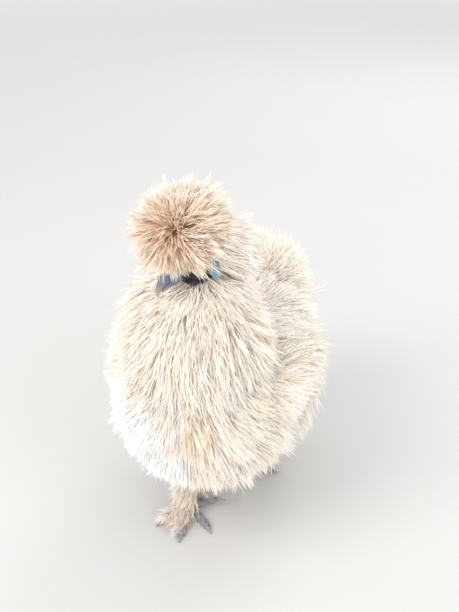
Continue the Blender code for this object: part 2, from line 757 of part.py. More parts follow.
class Coat:
    """Places locks on the cores, each clear of every other node and of the floor."""

    def __init__(self, hen, cores):
        self.skin = outer_skin()
        self.cores = cores
        self.locks = {name: [] for name in cores}
        self.trees = {name: [tree_of(core)] for name, core in cores.items()}
        for name, obj in hen.nodes.items():
            matrix = head_matrix() if obj.parent == hen.head else None
            self.trees[name] = [tree_of(obj, matrix)]

    def clear(self, name, tree):
        return not any(
            tree.overlap(other) for key, trees in self.trees.items() if key != name for other in trees
        )

    def place(self, name, root, size, turn, way=None, sink=LOCK_SINK):
        """Tries a lock, then shorter and flatter or steeper ones, until one is clear of all other nodes."""
        length, width, lift = size
        for shorter, raised in LOCK_TRIES:
            shape = (length * shorter, width * min(1.0, shorter + 0.15), lift * raised)
            tree = BVHTree.FromBMesh(lock(self.skin, root, name, *shape, turn, GAP * 1.6, way, sink))
            if self.clear(name, tree):
                made = object_from(lock(self.skin, root, name, *shape, turn, 0.0, way, sink))
                self.locks[name].append(made)
                self.trees[name].append(tree)
                return True
        return False

    def scatter(self, name, kind, seed):
        """Covers a core with locks whose roots keep a least distance."""
        spacing, length, width, lift = LOCKS[kind]
        draw = random.Random(seed)
        core = tree_of(self.cores[name])
        form = self.form(name)
        faces = list(form.data.polygons)
        weights = [face.area for face in faces]
        roots = []
        for face in draw.choices(faces, weights, k=LOCK_DRAWS):
            corners = [form.data.vertices[i].co for i in face.vertices]
            a, b = sorted((draw.random(), draw.random()))
            spot = corners[0] * a + corners[1] * (b - a) + corners[2] * (1 - b)
            turn = draw.gauss(0.0, 0.10)
            vary = draw.uniform(0.85, 1.12)
            size = (length * vary, width * vary, lift * self.raised(name, spot) * draw.uniform(0.78, 1.06))
            if self.bare(name, spot) or any((spot - other).length < spacing for other in roots):
                continue
            if max(self.skin.find_nearest(spot)[3], core.find_nearest(spot)[3]) < ON_CORE:
                if self.place(name, spot, size, turn):
                    roots.append(spot)
        bpy.data.objects.remove(form)

    def form(self, name):
        """The core as it is before it is cut, in triangles."""
        if name == "crest":
            made = moved(crest_form(), head_matrix())
        elif name.startswith("thigh"):
            made = thigh_form(name.split("_")[1])
        else:
            made = {"torso": torso_form, "neck": neck_form, "tail": tail_form}[name]()
        return triangulated(made)

    def raised(self, name, spot):
        """How much more locks stand up round the crest's whorl."""
        if name != "crest":
            return 1.0
        near = 1.0 - (head_matrix().inverted() @ spot - CREST_WHORL).length / 0.035
        return 1.0 + CREST_WHORL_RISE * max(near, 0.0)

    def bare(self, name, spot):
        """True where no lock is wanted: a crest lock starts clear of the face."""
        if name != "crest":
            return False
        local = head_matrix().inverted() @ spot
        return local.x > 0.012 and local.z < 0.014

    def wing(self, name, side, seed):
        """Vanes in tiers over the outer face of a wing."""
        draw = random.Random(seed)
        shoulder, tip = Vector(WING_STATIONS[1][0]), Vector(WING_STATIONS[-2][0])
        core = tree_of(self.cores[name])
        for rise, first, last, count, length, width in WING_ROWS:
            for i in range(count):
                back = first + (last - first) * i / (count - 1) + draw.uniform(-0.002, 0.002)
                spot = shoulder.lerp(tip, back / (tip.y - shoulder.y))
                spot += Vector((0, 0, rise * (1 - 4.0 * back)))
                start = Vector((SIDES[side] * 0.2, spot.y, spot.z))
                root = core.ray_cast(start, Vector((-SIDES[side], 0, 0)))[0]
                if root:
                    size = (length * draw.uniform(0.92, 1.08), width, WING_LIFT * draw.uniform(0.8, 1.1))
                    self.place(name, root, size, draw.gauss(0.0, 0.05), Vector((0, 1.0, -0.42)))

    def shank(self, name, side):
        """Feathers that hang from the outer side of a shank over the outer toes."""
        core = tree_of(self.cores[name])
        foot, hock = FOOT_PLACES[side] + Vector((0, 0, PAD_RISE)), hock_place(side)
        for height, turn, length, lift in SHANK_TUFTS:
            middle = foot.lerp(hock, height / HOCK_RISE)
            angle = math.radians(turn)
            out = Vector((SIDES[side] * math.cos(angle), math.sin(angle), 0.0))
            root = core.find_nearest(middle + out * 0.02)[0]
            way = out * 0.5 - Vector((0, 0, 1))
            self.place(name, root, (length, SHANK_TUFT_WIDTH, lift), 0.0, way, SHANK_TUFT_SINK)

    def fuse(self):
        """Joins each core with its locks. A lock that leaves the surface touching itself is nudged."""
        for name, pieces in self.locks.items():
            draw = random.Random(name)
            for attempt in range(FUSE_TRIES):
                copies = [copied(piece) for piece in pieces]
                whole = triangulated(join(copied(self.cores[name]), *copies, solver="MANIFOLD"))
                spots = faults(whole)
                if not spots or attempt == FUSE_TRIES - 1:
                    break
                bpy.data.objects.remove(whole)
                near = sorted(pieces, key=lambda piece: tree_of(piece).find_nearest(spots[0])[3])
                for piece in near[:2]:
                    nudge = Vector((draw.uniform(-1, 1), draw.uniform(-1, 1), draw.uniform(-1, 1))) * NUDGE
                    moved(piece, Matrix.Translation(nudge))
            for piece in (self.cores[name], *pieces):
                bpy.data.objects.remove(piece)
            self.cores[name] = whole


def make_coat(hen):
    coat = Coat(hen, make_cores())
    coat.scatter("crest", "crest", 11)
    coat.scatter("neck", "neck", 12)
    for seed, side in enumerate(SIDES):
        coat.wing(f"wing_{side}", side, 20 + seed)
    coat.scatter("tail", "tail", 13)
    coat.scatter("torso", "torso", 46)
    for seed, side in enumerate(SIDES):
        coat.scatter(f"thigh_{side}", "thigh", 66 + seed)
        coat.shank(f"shank_{side}", side)
    coat.fuse()
    moved(coat.cores["crest"], head_matrix().inverted())
    looks = {"neck": HACKLE, "crest": CREST_BUFF, "shank_left": LEG, "shank_right": LEG}
    for name, core in coat.cores.items():
        hen.add(name, core, hen.head if name == "crest" else hen.body, looks.get(name, PLUMAGE))


def main():
    clear_scene()
    hen = Hen()
    make_head(hen)
    make_feet(hen)
    make_coat(hen)


main()
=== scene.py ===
import math

import bmesh
import bpy
import numpy as np
from mathutils import Matrix, Vector
from mathutils.bvhtree import BVHTree


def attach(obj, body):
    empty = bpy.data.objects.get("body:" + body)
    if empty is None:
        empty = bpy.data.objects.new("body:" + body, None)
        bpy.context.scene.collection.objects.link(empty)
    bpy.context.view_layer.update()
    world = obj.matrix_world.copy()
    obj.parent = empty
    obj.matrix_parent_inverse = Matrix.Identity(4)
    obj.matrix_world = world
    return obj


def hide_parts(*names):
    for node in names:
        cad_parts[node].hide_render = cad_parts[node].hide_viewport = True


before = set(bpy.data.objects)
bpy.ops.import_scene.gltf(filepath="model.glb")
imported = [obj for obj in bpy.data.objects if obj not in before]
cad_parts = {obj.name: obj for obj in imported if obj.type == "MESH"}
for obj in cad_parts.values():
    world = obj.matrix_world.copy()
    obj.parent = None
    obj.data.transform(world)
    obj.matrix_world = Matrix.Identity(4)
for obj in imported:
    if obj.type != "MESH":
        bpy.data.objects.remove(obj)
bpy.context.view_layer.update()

print("silkie hen: frame loaded")

# The hen is laid out about a point on the floor under its breast, and this moves it over the frame's origin.
henShift = Vector((0.0010, -0.0364, 0.0))
shiftRow = np.array(henShift)
sideSigns = {"left": 1.0, "right": -1.0}


def inScene(name, data):
    # a new object, linked into the scene
    made = bpy.data.objects.new(name, data)
    bpy.context.scene.collection.objects.link(made)
    return made


cameraLook = {
    "turn": 20.0, "height": 29.0, "distance": 0.70, "target": (0.0, 0.0, 0.135),
    "targetPixel": (213.0, 378.0), "frame": (459, 612), "focal": 800.0, "sensor": 36.0, "nearest": 0.01,
}


def makeCamera(look):
    turn, height = math.radians(look["turn"]), math.radians(look["height"])
    back = Vector((math.sin(turn) * math.cos(height), -math.cos(turn) * math.cos(height), math.sin(height)))
    right = Vector((math.cos(turn), math.sin(turn), 0.0))
    up = back.cross(right)
    wide, high = look["frame"]
    across = (look["targetPixel"][0] - wide / 2) / look["focal"] * look["distance"]
    rise = -(look["targetPixel"][1] - high / 2) / look["focal"] * look["distance"]
    data = bpy.data.cameras.new("camera")
    data.sensor_fit, data.sensor_width = "AUTO", look["sensor"]
    data.lens = look["sensor"] * look["focal"] / max(look["frame"])
    data.clip_start = look["nearest"]
    camera = inScene("camera", data)
    camera.location = Vector(look["target"]) + henShift + back * look["distance"] - right * across - up * rise
    camera.rotation_euler = back.to_track_quat("Z", "Y").to_euler()
    bpy.context.scene.camera = camera


makeCamera(cameraLook)
print("camera set")


class Shade:
    # a node tree's output socket that can be used in sums
    def __init__(self, tree, link):
        self.tree, self.link = tree, link

    def maths(self, operation, *others, clamp=False):
        settings = {"operation": operation, "use_clamp": clamp}
        return addNode(self.tree, "ShaderNodeMath", settings, dict(enumerate((self, *others))))

    def __add__(self, other):
        return self.maths("ADD", other)

    __radd__ = __add__

    def __mul__(self, other):
        return self.maths("MULTIPLY", other)

    __rmul__ = __mul__

    def __sub__(self, other):
        return self.maths("SUBTRACT", other)

    def __rsub__(self, other):
        return (self * -1.0) + other

    def __truediv__(self, other):
        return self.maths("DIVIDE", other)

    def clamped(self):
        return self.maths("ADD", 0.0, clamp=True)

    def between(self, low, high):
        # 0 below low, 1 above high, and straight between them
        return ((self - low) / (high - low)).clamped()


def feed(tree, spot, value):
    if isinstance(value, Shade):
        tree.links.new(value.link, spot)
    else:
        spot.default_value = value


def addNode(tree, kind, settings=None, inputs=None, output=0):
    # a node, its settings, and the values or links of its inputs, which go by name or by place
    node = tree.nodes.new(kind)
    for key, value in (settings or {}).items():
        setattr(node, key, value)
    for key, value in (inputs or {}).items():
        feed(tree, node.inputs[key], value)
    return Shade(tree, node.outputs[output])


class Finish:
    # one material, with its Principled shader and the nodes that feed it
    def __init__(self, name, **constants):
        self.material = bpy.data.materials.new(name)
        self.material.use_nodes = True
        self.tree = self.material.node_tree
        self.shader = self.tree.nodes["Principled BSDF"]
        for socket, value in constants.items():
            self.shader.inputs[socket.replace("_", " ")].default_value = value

    def node(self, kind, settings=None, inputs=None, output=0):
        return addNode(self.tree, kind, settings, inputs, output)

    def place(self):
        return self.node("ShaderNodeTexCoord", output=3)

    def noise(self, scale, detail):
        inputs = {"Vector": self.place(), "Scale": scale, "Detail": detail, "Roughness": 0.55}
        return self.node("ShaderNodeTexNoise", inputs=inputs)

    def mix(self, factor, first, second):
        first, second = (value if isinstance(value, Shade) else (*value, 1.0) for value in (first, second))
        return self.node("ShaderNodeMix", {"data_type": "RGBA"}, {0: factor, 6: first, 7: second}, 2)

    def near(self, centre, inner, outer):
        # 1 within inner of a place and 0 beyond outer
        inputs = {0: self.place(), 1: tuple(centre)}
        apart = self.node("ShaderNodeVectorMath", {"operation": "DISTANCE"}, inputs, 1)
        return 1.0 - apart.between(inner, outer)

    def attribute(self, name):
        return self.node("ShaderNodeAttribute", {"attribute_name": name}, output=2)

    def bump(self, height, strength, distance):
        inputs = {"Height": height, "Strength": strength, "Distance": distance}
        return self.node("ShaderNodeBump", inputs=inputs)

    def set(self, socket, value):
        feed(self.tree, self.shader.inputs[socket], value)


bodyShape = {
    # torso rows: y, height of the middle, half width, half height, at the surface of the solids' core
    "torso": (
        (-0.080, 0.150, 0.000, 0.000), (-0.076, 0.149, 0.026, 0.029), (-0.058, 0.145, 0.049, 0.053),
        (-0.028, 0.138, 0.062, 0.064), (0.012, 0.133, 0.066, 0.064), (0.050, 0.136, 0.060, 0.056),
        (0.084, 0.146, 0.045, 0.043), (0.108, 0.156, 0.024, 0.024), (0.114, 0.158, 0.000, 0.000),
    ),
    # neck and wing rows: x, y, z, half width, half height
    "neck": (
        (0.000, -0.026, 0.160, 0.050, 0.048), (0.001, -0.036, 0.196, 0.044, 0.043),
        (0.005, -0.043, 0.228, 0.035, 0.034), (0.011, -0.046, 0.252, 0.026, 0.024),
        (0.015, -0.043, 0.270, 0.014, 0.013),
    ),
    "wing": (
        (0.052, -0.040, 0.158, 0.000, 0.000), (0.056, -0.034, 0.156, 0.010, 0.018),
        (0.064, -0.010, 0.150, 0.014, 0.030), (0.066, 0.024, 0.142, 0.014, 0.031),
        (0.062, 0.058, 0.134, 0.011, 0.024), (0.056, 0.084, 0.128, 0.006, 0.012),
        (0.054, 0.092, 0.126, 0.000, 0.000),
    ),
    "rump": (0.0, 0.116, 0.172), "rumpSize": 0.022,
    "skull": (
        (-0.0230, -0.001, 0.0000, 0.0000), (-0.0205, -0.001, 0.0085, 0.0090),
        (-0.0110, 0.000, 0.0142, 0.0150), (0.0020, 0.000, 0.0148, 0.0158),
        (0.0120, -0.001, 0.0118, 0.0128), (0.0200, -0.002, 0.0074, 0.0082),
    ),
    # sides of each form, and how far the skin lies under the core of the solids
    "forms": {
        "torso": (32, 0.008), "neck": (28, 0.007), "wing": (16, 0.005), "thigh": (20, 0.005),
        "shank": (16, 0.0),
    },
    "voxels": {"flesh": 0.0009, "body": 0.0025},  # finer where the coat leaves the skin bare
}

headShape = {
    "place": (0.011, -0.055, 0.279), "turn": 38.0, "nod": 20.0,
    "eye": (0.0060, 0.0106, 0.0030), "eyeSize": 0.0052, "eyeWay": (0.10, 1.0, 0.05), "socketRoom": 0.0002,
    "lidReach": 0.0050, "lidSize": 0.0012, "lidRise": 0.0018, "lidSteps": (28, 8),
    "comb": (0.0125, 0.0, 0.0125),
    "bulbs": (
        (0.0, 0.0, 0.0038), (0.0044, 0.0, 0.0030), (-0.0010, 0.0042, 0.0030), (-0.0010, -0.0042, 0.0030),
        (0.0042, 0.0030, 0.0025), (0.0042, -0.0030, 0.0025), (-0.0040, 0.0012, 0.0026),
    ),
    "wattle": (0.0120, 0.0050, -0.0130), "wattleSize": (0.0038, 0.0020, 0.0044),
    "lobe": (-0.0036, 0.0140, -0.0065), "lobeSize": (0.0044, 0.0029, 0.0104),
}

legShape = {
    "feet": {"right": (-0.014, -0.024), "left": (0.020, 0.078)},
    "turns": {"right": -8.0, "left": -6.0},
    "hockRise": 0.060, "hockBack": 0.020, "hipSpread": 0.036, "thighTop": 0.112,
    "thighSizes": (0.034, 0.033, 0.026, 0.014, 0.010),
    "shankSizes": (0.0064, 0.0054, 0.0051, 0.0055, 0.0062),
    "padRise": 0.0062, "padSize": (0.0084, 0.0084, 0.0074),
    # turn from straight ahead towards the outside, length, girth, rise of the tip
    "toes": {
        "1": (-156, 0.019, 0.0034, 0.0), "2": (-42, 0.030, 0.0037, 0.0), "3": (0, 0.037, 0.0039, 0.0),
        "4": (40, 0.031, 0.0037, 0.0), "5": (-98, 0.024, 0.0034, 0.010),
    },
    "clawLength": 0.0085, "sink": 0.85,
}

headMatrix = (
    Matrix.Translation(Vector(headShape["place"]))
    @ Matrix.Rotation(-math.pi / 2 - math.radians(headShape["turn"]), 4, "Z")
    @ Matrix.Rotation(math.radians(headShape["nod"]), 4, "Y")
)
headTurn, headPlace = np.array(headMatrix.to_3x3()), np.array(headMatrix.translation)


def headSpot(x, y, z):
    # a place in the head's own frame, in the scene's
    return henShift + headMatrix @ Vector((x, y, z))


def fromHead(places):
    # the same for rows of places
    return places @ headTurn.T + headPlace + shiftRow


def inHead(places):
    # and from the scene to the head's own frame
    return (places - shiftRow - headPlace) @ headTurn


def eyeWay(sign):
    ahead, aside, up = headShape["eyeWay"]
    return Vector((ahead, aside * sign, up)).normalized()


def curved(p, q, r, s, t):
    # a value on the smooth curve through four, t of the way from the second to the third
    return 0.5 * (2 * q + (r - p) * t + (2 * p - 5 * q + 4 * r - s) * t**2 + (3 * q - p - 3 * r + s) * t**3)


def between(rows, steps):
    # rows on a smooth curve through the given ones, with this many steps from each to the next
    made, last = [], len(rows) - 1
    for i in range(last):
        four = [rows[min(max(k, 0), last)] for k in (i - 1, i, i + 1, i + 2)]
        for step in range(steps):
            made.append(tuple(curved(*values, step / steps) for values in zip(*four)))
    return made + [rows[-1]]


def addLoft(bm, rows, side, sides, shrink=0.0, lowest=-1.0, matrix=None):
    # a closed form through rows of x, y, z, half width, half height; a row of no size is a point
    centres = [Vector(row[:3]) for row in rows]
    side = Vector(side)
    rings = []
    for i, row in enumerate(rows):
        along = (centres[min(i + 1, len(rows) - 1)] - centres[max(i - 1, 0)]).normalized()
        across = (side - along * side.dot(along)).normalized()
        up = along.cross(across)
        if min(row[3:]) < 1e-5:
            rings.append([bm.verts.new(centres[i] + (along if i == 0 else -along) * shrink)])
            continue
        wide, high = (max(half - shrink, 0.0008) for half in row[3:])
        ring = []
        for k in range(sides):
            angle = 2 * math.pi * k / sides
            rise = max(math.sin(angle), lowest)
            ring.append(bm.verts.new(centres[i] + across * wide * math.cos(angle) + up * high * rise))
        rings.append(ring)
    faces = []
    for first, second in zip(rings, rings[1:]):
        for k in range(sides):
            n = (k + 1) % sides
            # a ring of one point gives its corner once
            corners = [ring[i % len(ring)] for ring, i in ((first, k), (first, n), (second, n), (second, k))]
            faces.append(bm.faces.new(tuple(dict.fromkeys(corners))))
    for ring, order in ((rings[0], -1), (rings[-1], 1)):
        if len(ring) > 1:
            faces.append(bm.faces.new(ring[::order]))
    bmesh.ops.recalc_face_normals(bm, faces=faces)
    if matrix:
        bmesh.ops.transform(bm, matrix=matrix, verts=[vert for ring in rings for vert in ring])


def addBall(bm, centre, size, sides=20, matrix=None):
    made = bmesh.ops.create_uvsphere(bm, u_segments=sides, v_segments=sides // 2, radius=1.0)["verts"]
    whole = Matrix.Translation(Vector(centre)) @ Matrix.Diagonal((*size, 1.0))
    bmesh.ops.transform(bm, matrix=(matrix @ whole) if matrix else whole, verts=made)


def pieceFrom(bm, name, shift=True):
    if shift:
        bmesh.ops.translate(bm, vec=henShift, verts=bm.verts)
    mesh = bpy.data.meshes.new(name)
    bm.to_mesh(mesh)
    bm.free()
    return inScene(name, mesh)


def smoothed(piece):
    piece.data.polygons.foreach_set("use_smooth", [True] * len(piece.data.polygons))


def settled(piece):
    # the piece's modifiers, made part of its mesh
    bpy.context.view_layer.update()
    graph = bpy.context.evaluated_depsgraph_get()
    mesh = bpy.data.meshes.new_from_object(piece.evaluated_get(graph))
    piece.modifiers.clear()
    piece.data = mesh
    smoothed(piece)
    return piece


def fusedSmooth(piece, voxel, rounds):
    remesh = piece.modifiers.new("fuse", "REMESH")
    remesh.mode, remesh.voxel_size = "VOXEL", voxel
    soft = piece.modifiers.new("soften", "SMOOTH")
    soft.factor, soft.iterations = 0.5, rounds
    return settled(piece)


def rowsOf(items, label, width, kind=np.float64):
    # a value of each item of a mesh, as rows of numbers
    values = np.empty(len(items) * width, kind)
    items.foreach_get(label, values)
    return values.reshape(-1, width)


def footPlace(side):
    return Vector((*legShape["feet"][side], 0.0))


def hockPlace(side):
    foot = footPlace(side)
    return Vector((foot.x * 1.10, foot.y + legShape["hockBack"], legShape["hockRise"]))


def thighRows(side):
    hock = hockPlace(side)
    hip = Vector((legShape["hipSpread"] * sideSigns[side], hock.y * 0.55 + 0.004, legShape["thighTop"]))
    sizes = legShape["thighSizes"]
    return [(*hip.lerp(hock, i / (len(sizes) - 1)), size, size * 1.15) for i, size in enumerate(sizes)]


def toeLine(side, toe):
    # root, way and sizes of a toe
    turn, length, girth, rise = legShape["toes"][toe]
    angle = math.radians(legShape["turns"][side]) - math.radians(turn) * sideSigns[side]
    return footPlace(side), Vector((-math.sin(angle), -math.cos(angle), 0.0)), length, girth, rise


def toeSpots(side, toe, count=12):
    # centres and girths along a toe, thicker at its joints
    root, ahead, length, girth, rise = toeLine(side, toe)
    spots = []
    for i in range(count):
        t = i / (count - 1)
        thick = girth * (1.0 - 0.22 * t + 0.06 * math.sin(9.0 * t))
        height = Vector((0, 0, thick * legShape["sink"] + rise * t))
        spots.append((root + ahead * (length * t) + height, thick))
    return spots


def toeAcross(side, toe):
    return Vector((0, 0, 1)).cross(toeLine(side, toe)[1])


def shankRows(side):
    foot, hock = footPlace(side) + Vector((0, 0, legShape["padRise"])), hockPlace(side)
    sizes = legShape["shankSizes"]
    return [(*hock.lerp(foot, i / (len(sizes) - 1)), size, size) for i, size in enumerate(sizes)]


def addForm(bm, kind, side="left"):
    # one of the forms that the plumage grows on
    if kind == "rump":
        addBall(bm, bodyShape["rump"], [bodyShape["rumpSize"]] * 3)
        return
    rows = {
        "torso": [(0.0, *row) for row in bodyShape["torso"]],
        "neck": bodyShape["neck"],
        "wing": [(row[0] * sideSigns[side], *row[1:]) for row in bodyShape["wing"]],
        "thigh": thighRows(side),
        "shank": shankRows(side),
    }
    sides, under = bodyShape["forms"][kind]
    addLoft(bm, between(rows[kind], 3), (-1 if kind == "shank" else 1, 0, 0), sides, under)


def formOf(kind, side="left"):
    bm = bmesh.new()
    addForm(bm, kind, side)
    return bm


def addBody(bm):
    for kind in ("torso", "neck", "rump"):
        addForm(bm, kind)
    for side in sideSigns:
        addForm(bm, "wing", side)
        addForm(bm, "thigh", side)


def addSkull(bm, steps=3, sides=24):
    rows = [(x, 0.0, z, w, h) for x, z, w, h in bodyShape["skull"]]
    addLoft(bm, between(rows, steps), (0, 1, 0), sides, matrix=headMatrix)


def addLid(bm, sign):
    eye = Vector(headShape["eye"])
    eye.y *= sign
    out, size = eyeWay(sign), headShape["lidSize"]
    place = Matrix.Translation(eye + out * headShape["lidRise"])
    facing = headMatrix @ place @ out.to_track_quat("Z", "X").to_matrix().to_4x4()
    around, sides = headShape["lidSteps"]
    rings = []
    for i in range(around):
        turn = 2 * math.pi * i / around
        way = Vector((math.cos(turn), math.sin(turn), 0.0))
        ring = []
        for k in range(sides):
            roll = 2 * math.pi * k / sides
            reach = headShape["lidReach"] + size * math.cos(roll)
            ring.append(bm.verts.new(facing @ (way * reach + Vector((0, 0, size * math.sin(roll))))))
        rings.append(ring)
    faces = []
    for i in range(around):
        first, second = rings[i], rings[(i + 1) % around]
        for k in range(sides):
            n = (k + 1) % sides
            faces.append(bm.faces.new((first[k], second[k], second[n], first[n])))
    bmesh.ops.recalc_face_normals(bm, faces=faces)


def addHead(bm):
    addSkull(bm)
    for x, y, size in headShape["bulbs"]:
        spot = Vector(headShape["comb"]) + Vector((x, y, -abs(y) * 0.25 - max(x, 0.0) * 0.35))
        addBall(bm, spot, [size] * 3, 14, headMatrix)
    for sign in sideSigns.values():
        addLid(bm, sign)
        for part in ("wattle", "lobe"):
            x, y, z = headShape[part]
            addBall(bm, (x, y * sign, z), headShape[part + "Size"], 16, headMatrix)


def addLegs(bm):
    for side in sideSigns:
        addForm(bm, "shank", side)
        addBall(bm, footPlace(side) + Vector((0, 0, legShape["padRise"])), legShape["padSize"])
        for toe in legShape["toes"]:
            rows = [(*spot, thick, thick) for spot, thick in toeSpots(side, toe)]
            addLoft(bm, rows, toeAcross(side, toe), 12)


def makeSkin():
    whole = bmesh.new()
    for kind, voxel in bodyShape["voxels"].items():
        bm = bmesh.new()
        if kind == "body":
            addBody(bm)
        else:
            addHead(bm)
            addLegs(bm)
        part = fusedSmooth(pieceFrom(bm, kind), voxel, 3)
        whole.from_mesh(part.data)
        bpy.data.objects.remove(part)
    skin = settled(pieceFrom(whole, "skin", False))
    coords = rowsOf(skin.data.vertices, "co", 3, np.float32)
    coords[:, 2] = np.maximum(coords[:, 2], 0.0)  # the feet stand flat
    room = headShape["eyeSize"] + headShape["socketRoom"]
    for sign in sideSigns.values():
        # the skin round an eye is pushed out, into a socket
        eye = np.array(headShape["eye"]) * (1, sign, 1)
        away = inHead(coords) - eye
        reach = np.linalg.norm(away, axis=1)
        inside = reach < room
        coords[inside] = fromHead(eye + away[inside] / reach[inside, None] * room)
    skin.data.vertices.foreach_set("co", coords.ravel())
    skin.data.update()
    return skin


skinLook = {
    "down": (0.90, 0.84, 0.76), "leg": (0.20, 0.18, 0.21), "legLight": (0.42, 0.39, 0.41),
    "legTop": (0.050, 0.062),
    # the head's colours, and how far each reaches in full and at all
    "face": (0.022, 0.018, 0.026), "faceLight": (0.075, 0.062, 0.082), "faceReach": (0.024, 0.030),
    "lobe": (0.13, 0.25, 0.37), "lobeLight": (0.27, 0.41, 0.53), "lobeReach": (0.0095, 0.0106),
    "lobeOut": 0.003,
    "comb": (0.055, 0.030, 0.045), "combReach": (0.0050, 0.0085),
    "crown": (0.72, 0.52, 0.37), "crownReach": (0.015, 0.018),
}


def skinFinish(look):
    finish = Finish("silkieSkin", Roughness=0.55)
    fine = finish.noise(900.0, 4.0)
    coarse = finish.noise(180.0, 3.0)
    face = finish.mix(coarse.between(0.35, 0.7), look["face"], look["faceLight"])
    face = finish.mix(finish.near(headSpot(*headShape["comb"]), *look["combReach"]), face, look["comb"])
    lobeTone = finish.mix(fine.between(0.3, 0.75), look["lobe"], look["lobeLight"])
    x, y, z = headShape["lobe"]
    y, reach = y + look["lobeOut"], look["lobeReach"]
    lobe = finish.near(headSpot(x, y, z), *reach) + finish.near(headSpot(x, -y, z), *reach)
    face = finish.mix(lobe.clamped(), face, lobeTone)
    leg = finish.mix(coarse.between(0.3, 0.7), look["leg"], look["legLight"])
    place = finish.place()
    height = finish.node("ShaderNodeSeparateXYZ", inputs={0: place}, output=2)
    body = finish.mix(1.0 - height.between(*look["legTop"]), look["down"], leg)
    head = finish.near(headSpot(0.006, 0.0, 0.0), *look["faceReach"])
    crown = finish.near(headSpot(-0.002, 0.0, 0.026), *look["crownReach"])
    finish.set("Base Color", finish.mix(crown, finish.mix(head, body, face), look["crown"]))
    inputs = {"Vector": place, "Scale": 620.0}
    wrinkles = finish.node("ShaderNodeTexVoronoi", {"feature": "DISTANCE_TO_EDGE"}, inputs)
    relief = fine * 0.5 + wrinkles.between(0.0, 0.35) * 0.6
    finish.set("Normal", finish.bump(relief, 0.55, 0.0004))
    finish.set("Roughness", 0.62 - fine * 0.22)
    return finish.material


def wear(piece, material):
    piece.data.materials.clear()
    piece.data.materials.append(material)


def dressed(piece, material, nodes=()):
    # the piece in its finish, riding in the place of its nodes
    wear(piece, material)
    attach(piece, "root")
    if nodes:
        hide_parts(*nodes)


skin = makeSkin()
fleshNodes = ["head", "comb"] + [f"{part}_{side}" for part in ("wattle", "earlobe") for side in sideSigns]
fleshNodes += [f"toe_{side}_{toe}" for side in sideSigns for toe in legShape["toes"]]
dressed(skin, skinFinish(skinLook), fleshNodes)
print("skin made,", len(skin.data.polygons), "faces")


groundLook = {"voxel": 0.0042, "rounds": 2, "angle": 66.0, "margin": 0.004}


def rootGround(look):
    # a coarse copy of the feathered skin, unwrapped, that the coat's roots and colours are placed by
    bm = bmesh.new()
    addBody(bm)
    addSkull(bm, 2, 20)
    for side in sideSigns:
        addLoft(bm, between(shankRows(side), 2), (-1, 0, 0), 12)
    ground = fusedSmooth(pieceFrom(bm, "rootGround"), look["voxel"], look["rounds"])
    for piece in bpy.context.selected_objects:
        piece.select_set(False)
    bpy.context.view_layer.objects.active = ground
    ground.select_set(True)
    bpy.ops.object.mode_set(mode="EDIT")
    bpy.ops.mesh.select_all(action="SELECT")
    bpy.ops.uv.smart_project(angle_limit=math.radians(look["angle"]), island_margin=look["margin"])
    bpy.ops.object.mode_set(mode="OBJECT")
    mesh = ground.data
    mesh.calc_loop_triangles()
    made = {
        "corners": rowsOf(mesh.loop_triangles, "vertices", 3, np.int32),
        "loops": rowsOf(mesh.loop_triangles, "loops", 3, np.int32),
        "coords": rowsOf(mesh.vertices, "co", 3),
        "normals": rowsOf(mesh.vertices, "normal", 3),
        "uvs": rowsOf(mesh.uv_layers.active.data, "uv", 2),
    }
    spots = [Vector(spot) for spot in made["coords"]]
    made["tree"] = BVHTree.FromPolygons(spots, made["corners"].tolist(), all_triangles=True)
    bpy.data.objects.remove(ground)
    return made


ground = rootGround(groundLook)
print("root ground made")


def onGround(spots, reach):
    # spots that lie within reach of the ground, moved onto it, with its normal and unwrap there
    kept, found, faces = [], [], []
    for i, spot in enumerate(spots):
        place, _, face, apart = ground["tree"].find_nearest(spot)
        if apart < reach:
            kept.append(i)
            found.append(place)
            faces.append(face)
    found, faces = np.array(found), np.array(faces)
    tri = ground["coords"][ground["corners"][faces]]
    e0, e1, e2 = tri[:, 1] - tri[:, 0], tri[:, 2] - tri[:, 0], found - tri[:, 0]
    d00, d01, d11 = (e0 * e0).sum(1), (e0 * e1).sum(1), (e1 * e1).sum(1)
    d20, d21 = (e2 * e0).sum(1), (e2 * e1).sum(1)
    det = np.maximum(d00 * d11 - d01 * d01, 1e-18)
    v, w = (d11 * d20 - d01 * d21) / det, (d00 * d21 - d01 * d20) / det
    share = np.clip(np.stack([1 - v - w, v, w], 1), 0, 1)
    normals = (ground["normals"][ground["corners"][faces]] * share[:, :, None]).sum(1)
    uvs = (ground["uvs"][ground["loops"][faces]] * share[:, :, None]).sum(1)
    return np.array(kept), found, unit(normals), uvs


def unit(vectors):
    return vectors / np.maximum(np.linalg.norm(vectors, axis=-1, keepdims=True), 1e-9)


def scattered(bm, count, seed):
    # places spread evenly by area over a form
    bmesh.ops.triangulate(bm, faces=bm.faces)
    tri = np.array([[vert.co for vert in face.verts] for face in bm.faces])
    bm.free()
    draw = np.random.default_rng(seed)
    area = np.linalg.norm(np.cross(tri[:, 1] - tri[:, 0], tri[:, 2] - tri[:, 0]), axis=1)
    area = area / area.sum()
    # the order of a form's faces is set by their places, so that each run draws the same ones
    order = np.lexsort(np.round(tri.mean(1), 6).T)
    tri, area = tri[order], area[order]
    picks = tri[draw.choice(len(tri), count, p=area)]
    a, b = np.sort(draw.random((2, count)), axis=0)
    # so are a face's corners
    order = np.argsort((picks * (1.0, 13.7, 171.4)).sum(2), axis=1)
    corners = np.take_along_axis(picks, order[:, :, None], axis=1)
    spots = corners[:, 0] * a[:, None] + corners[:, 1] * (b - a)[:, None] + corners[:, 2] * (1 - b)[:, None]
    return spots + shiftRow


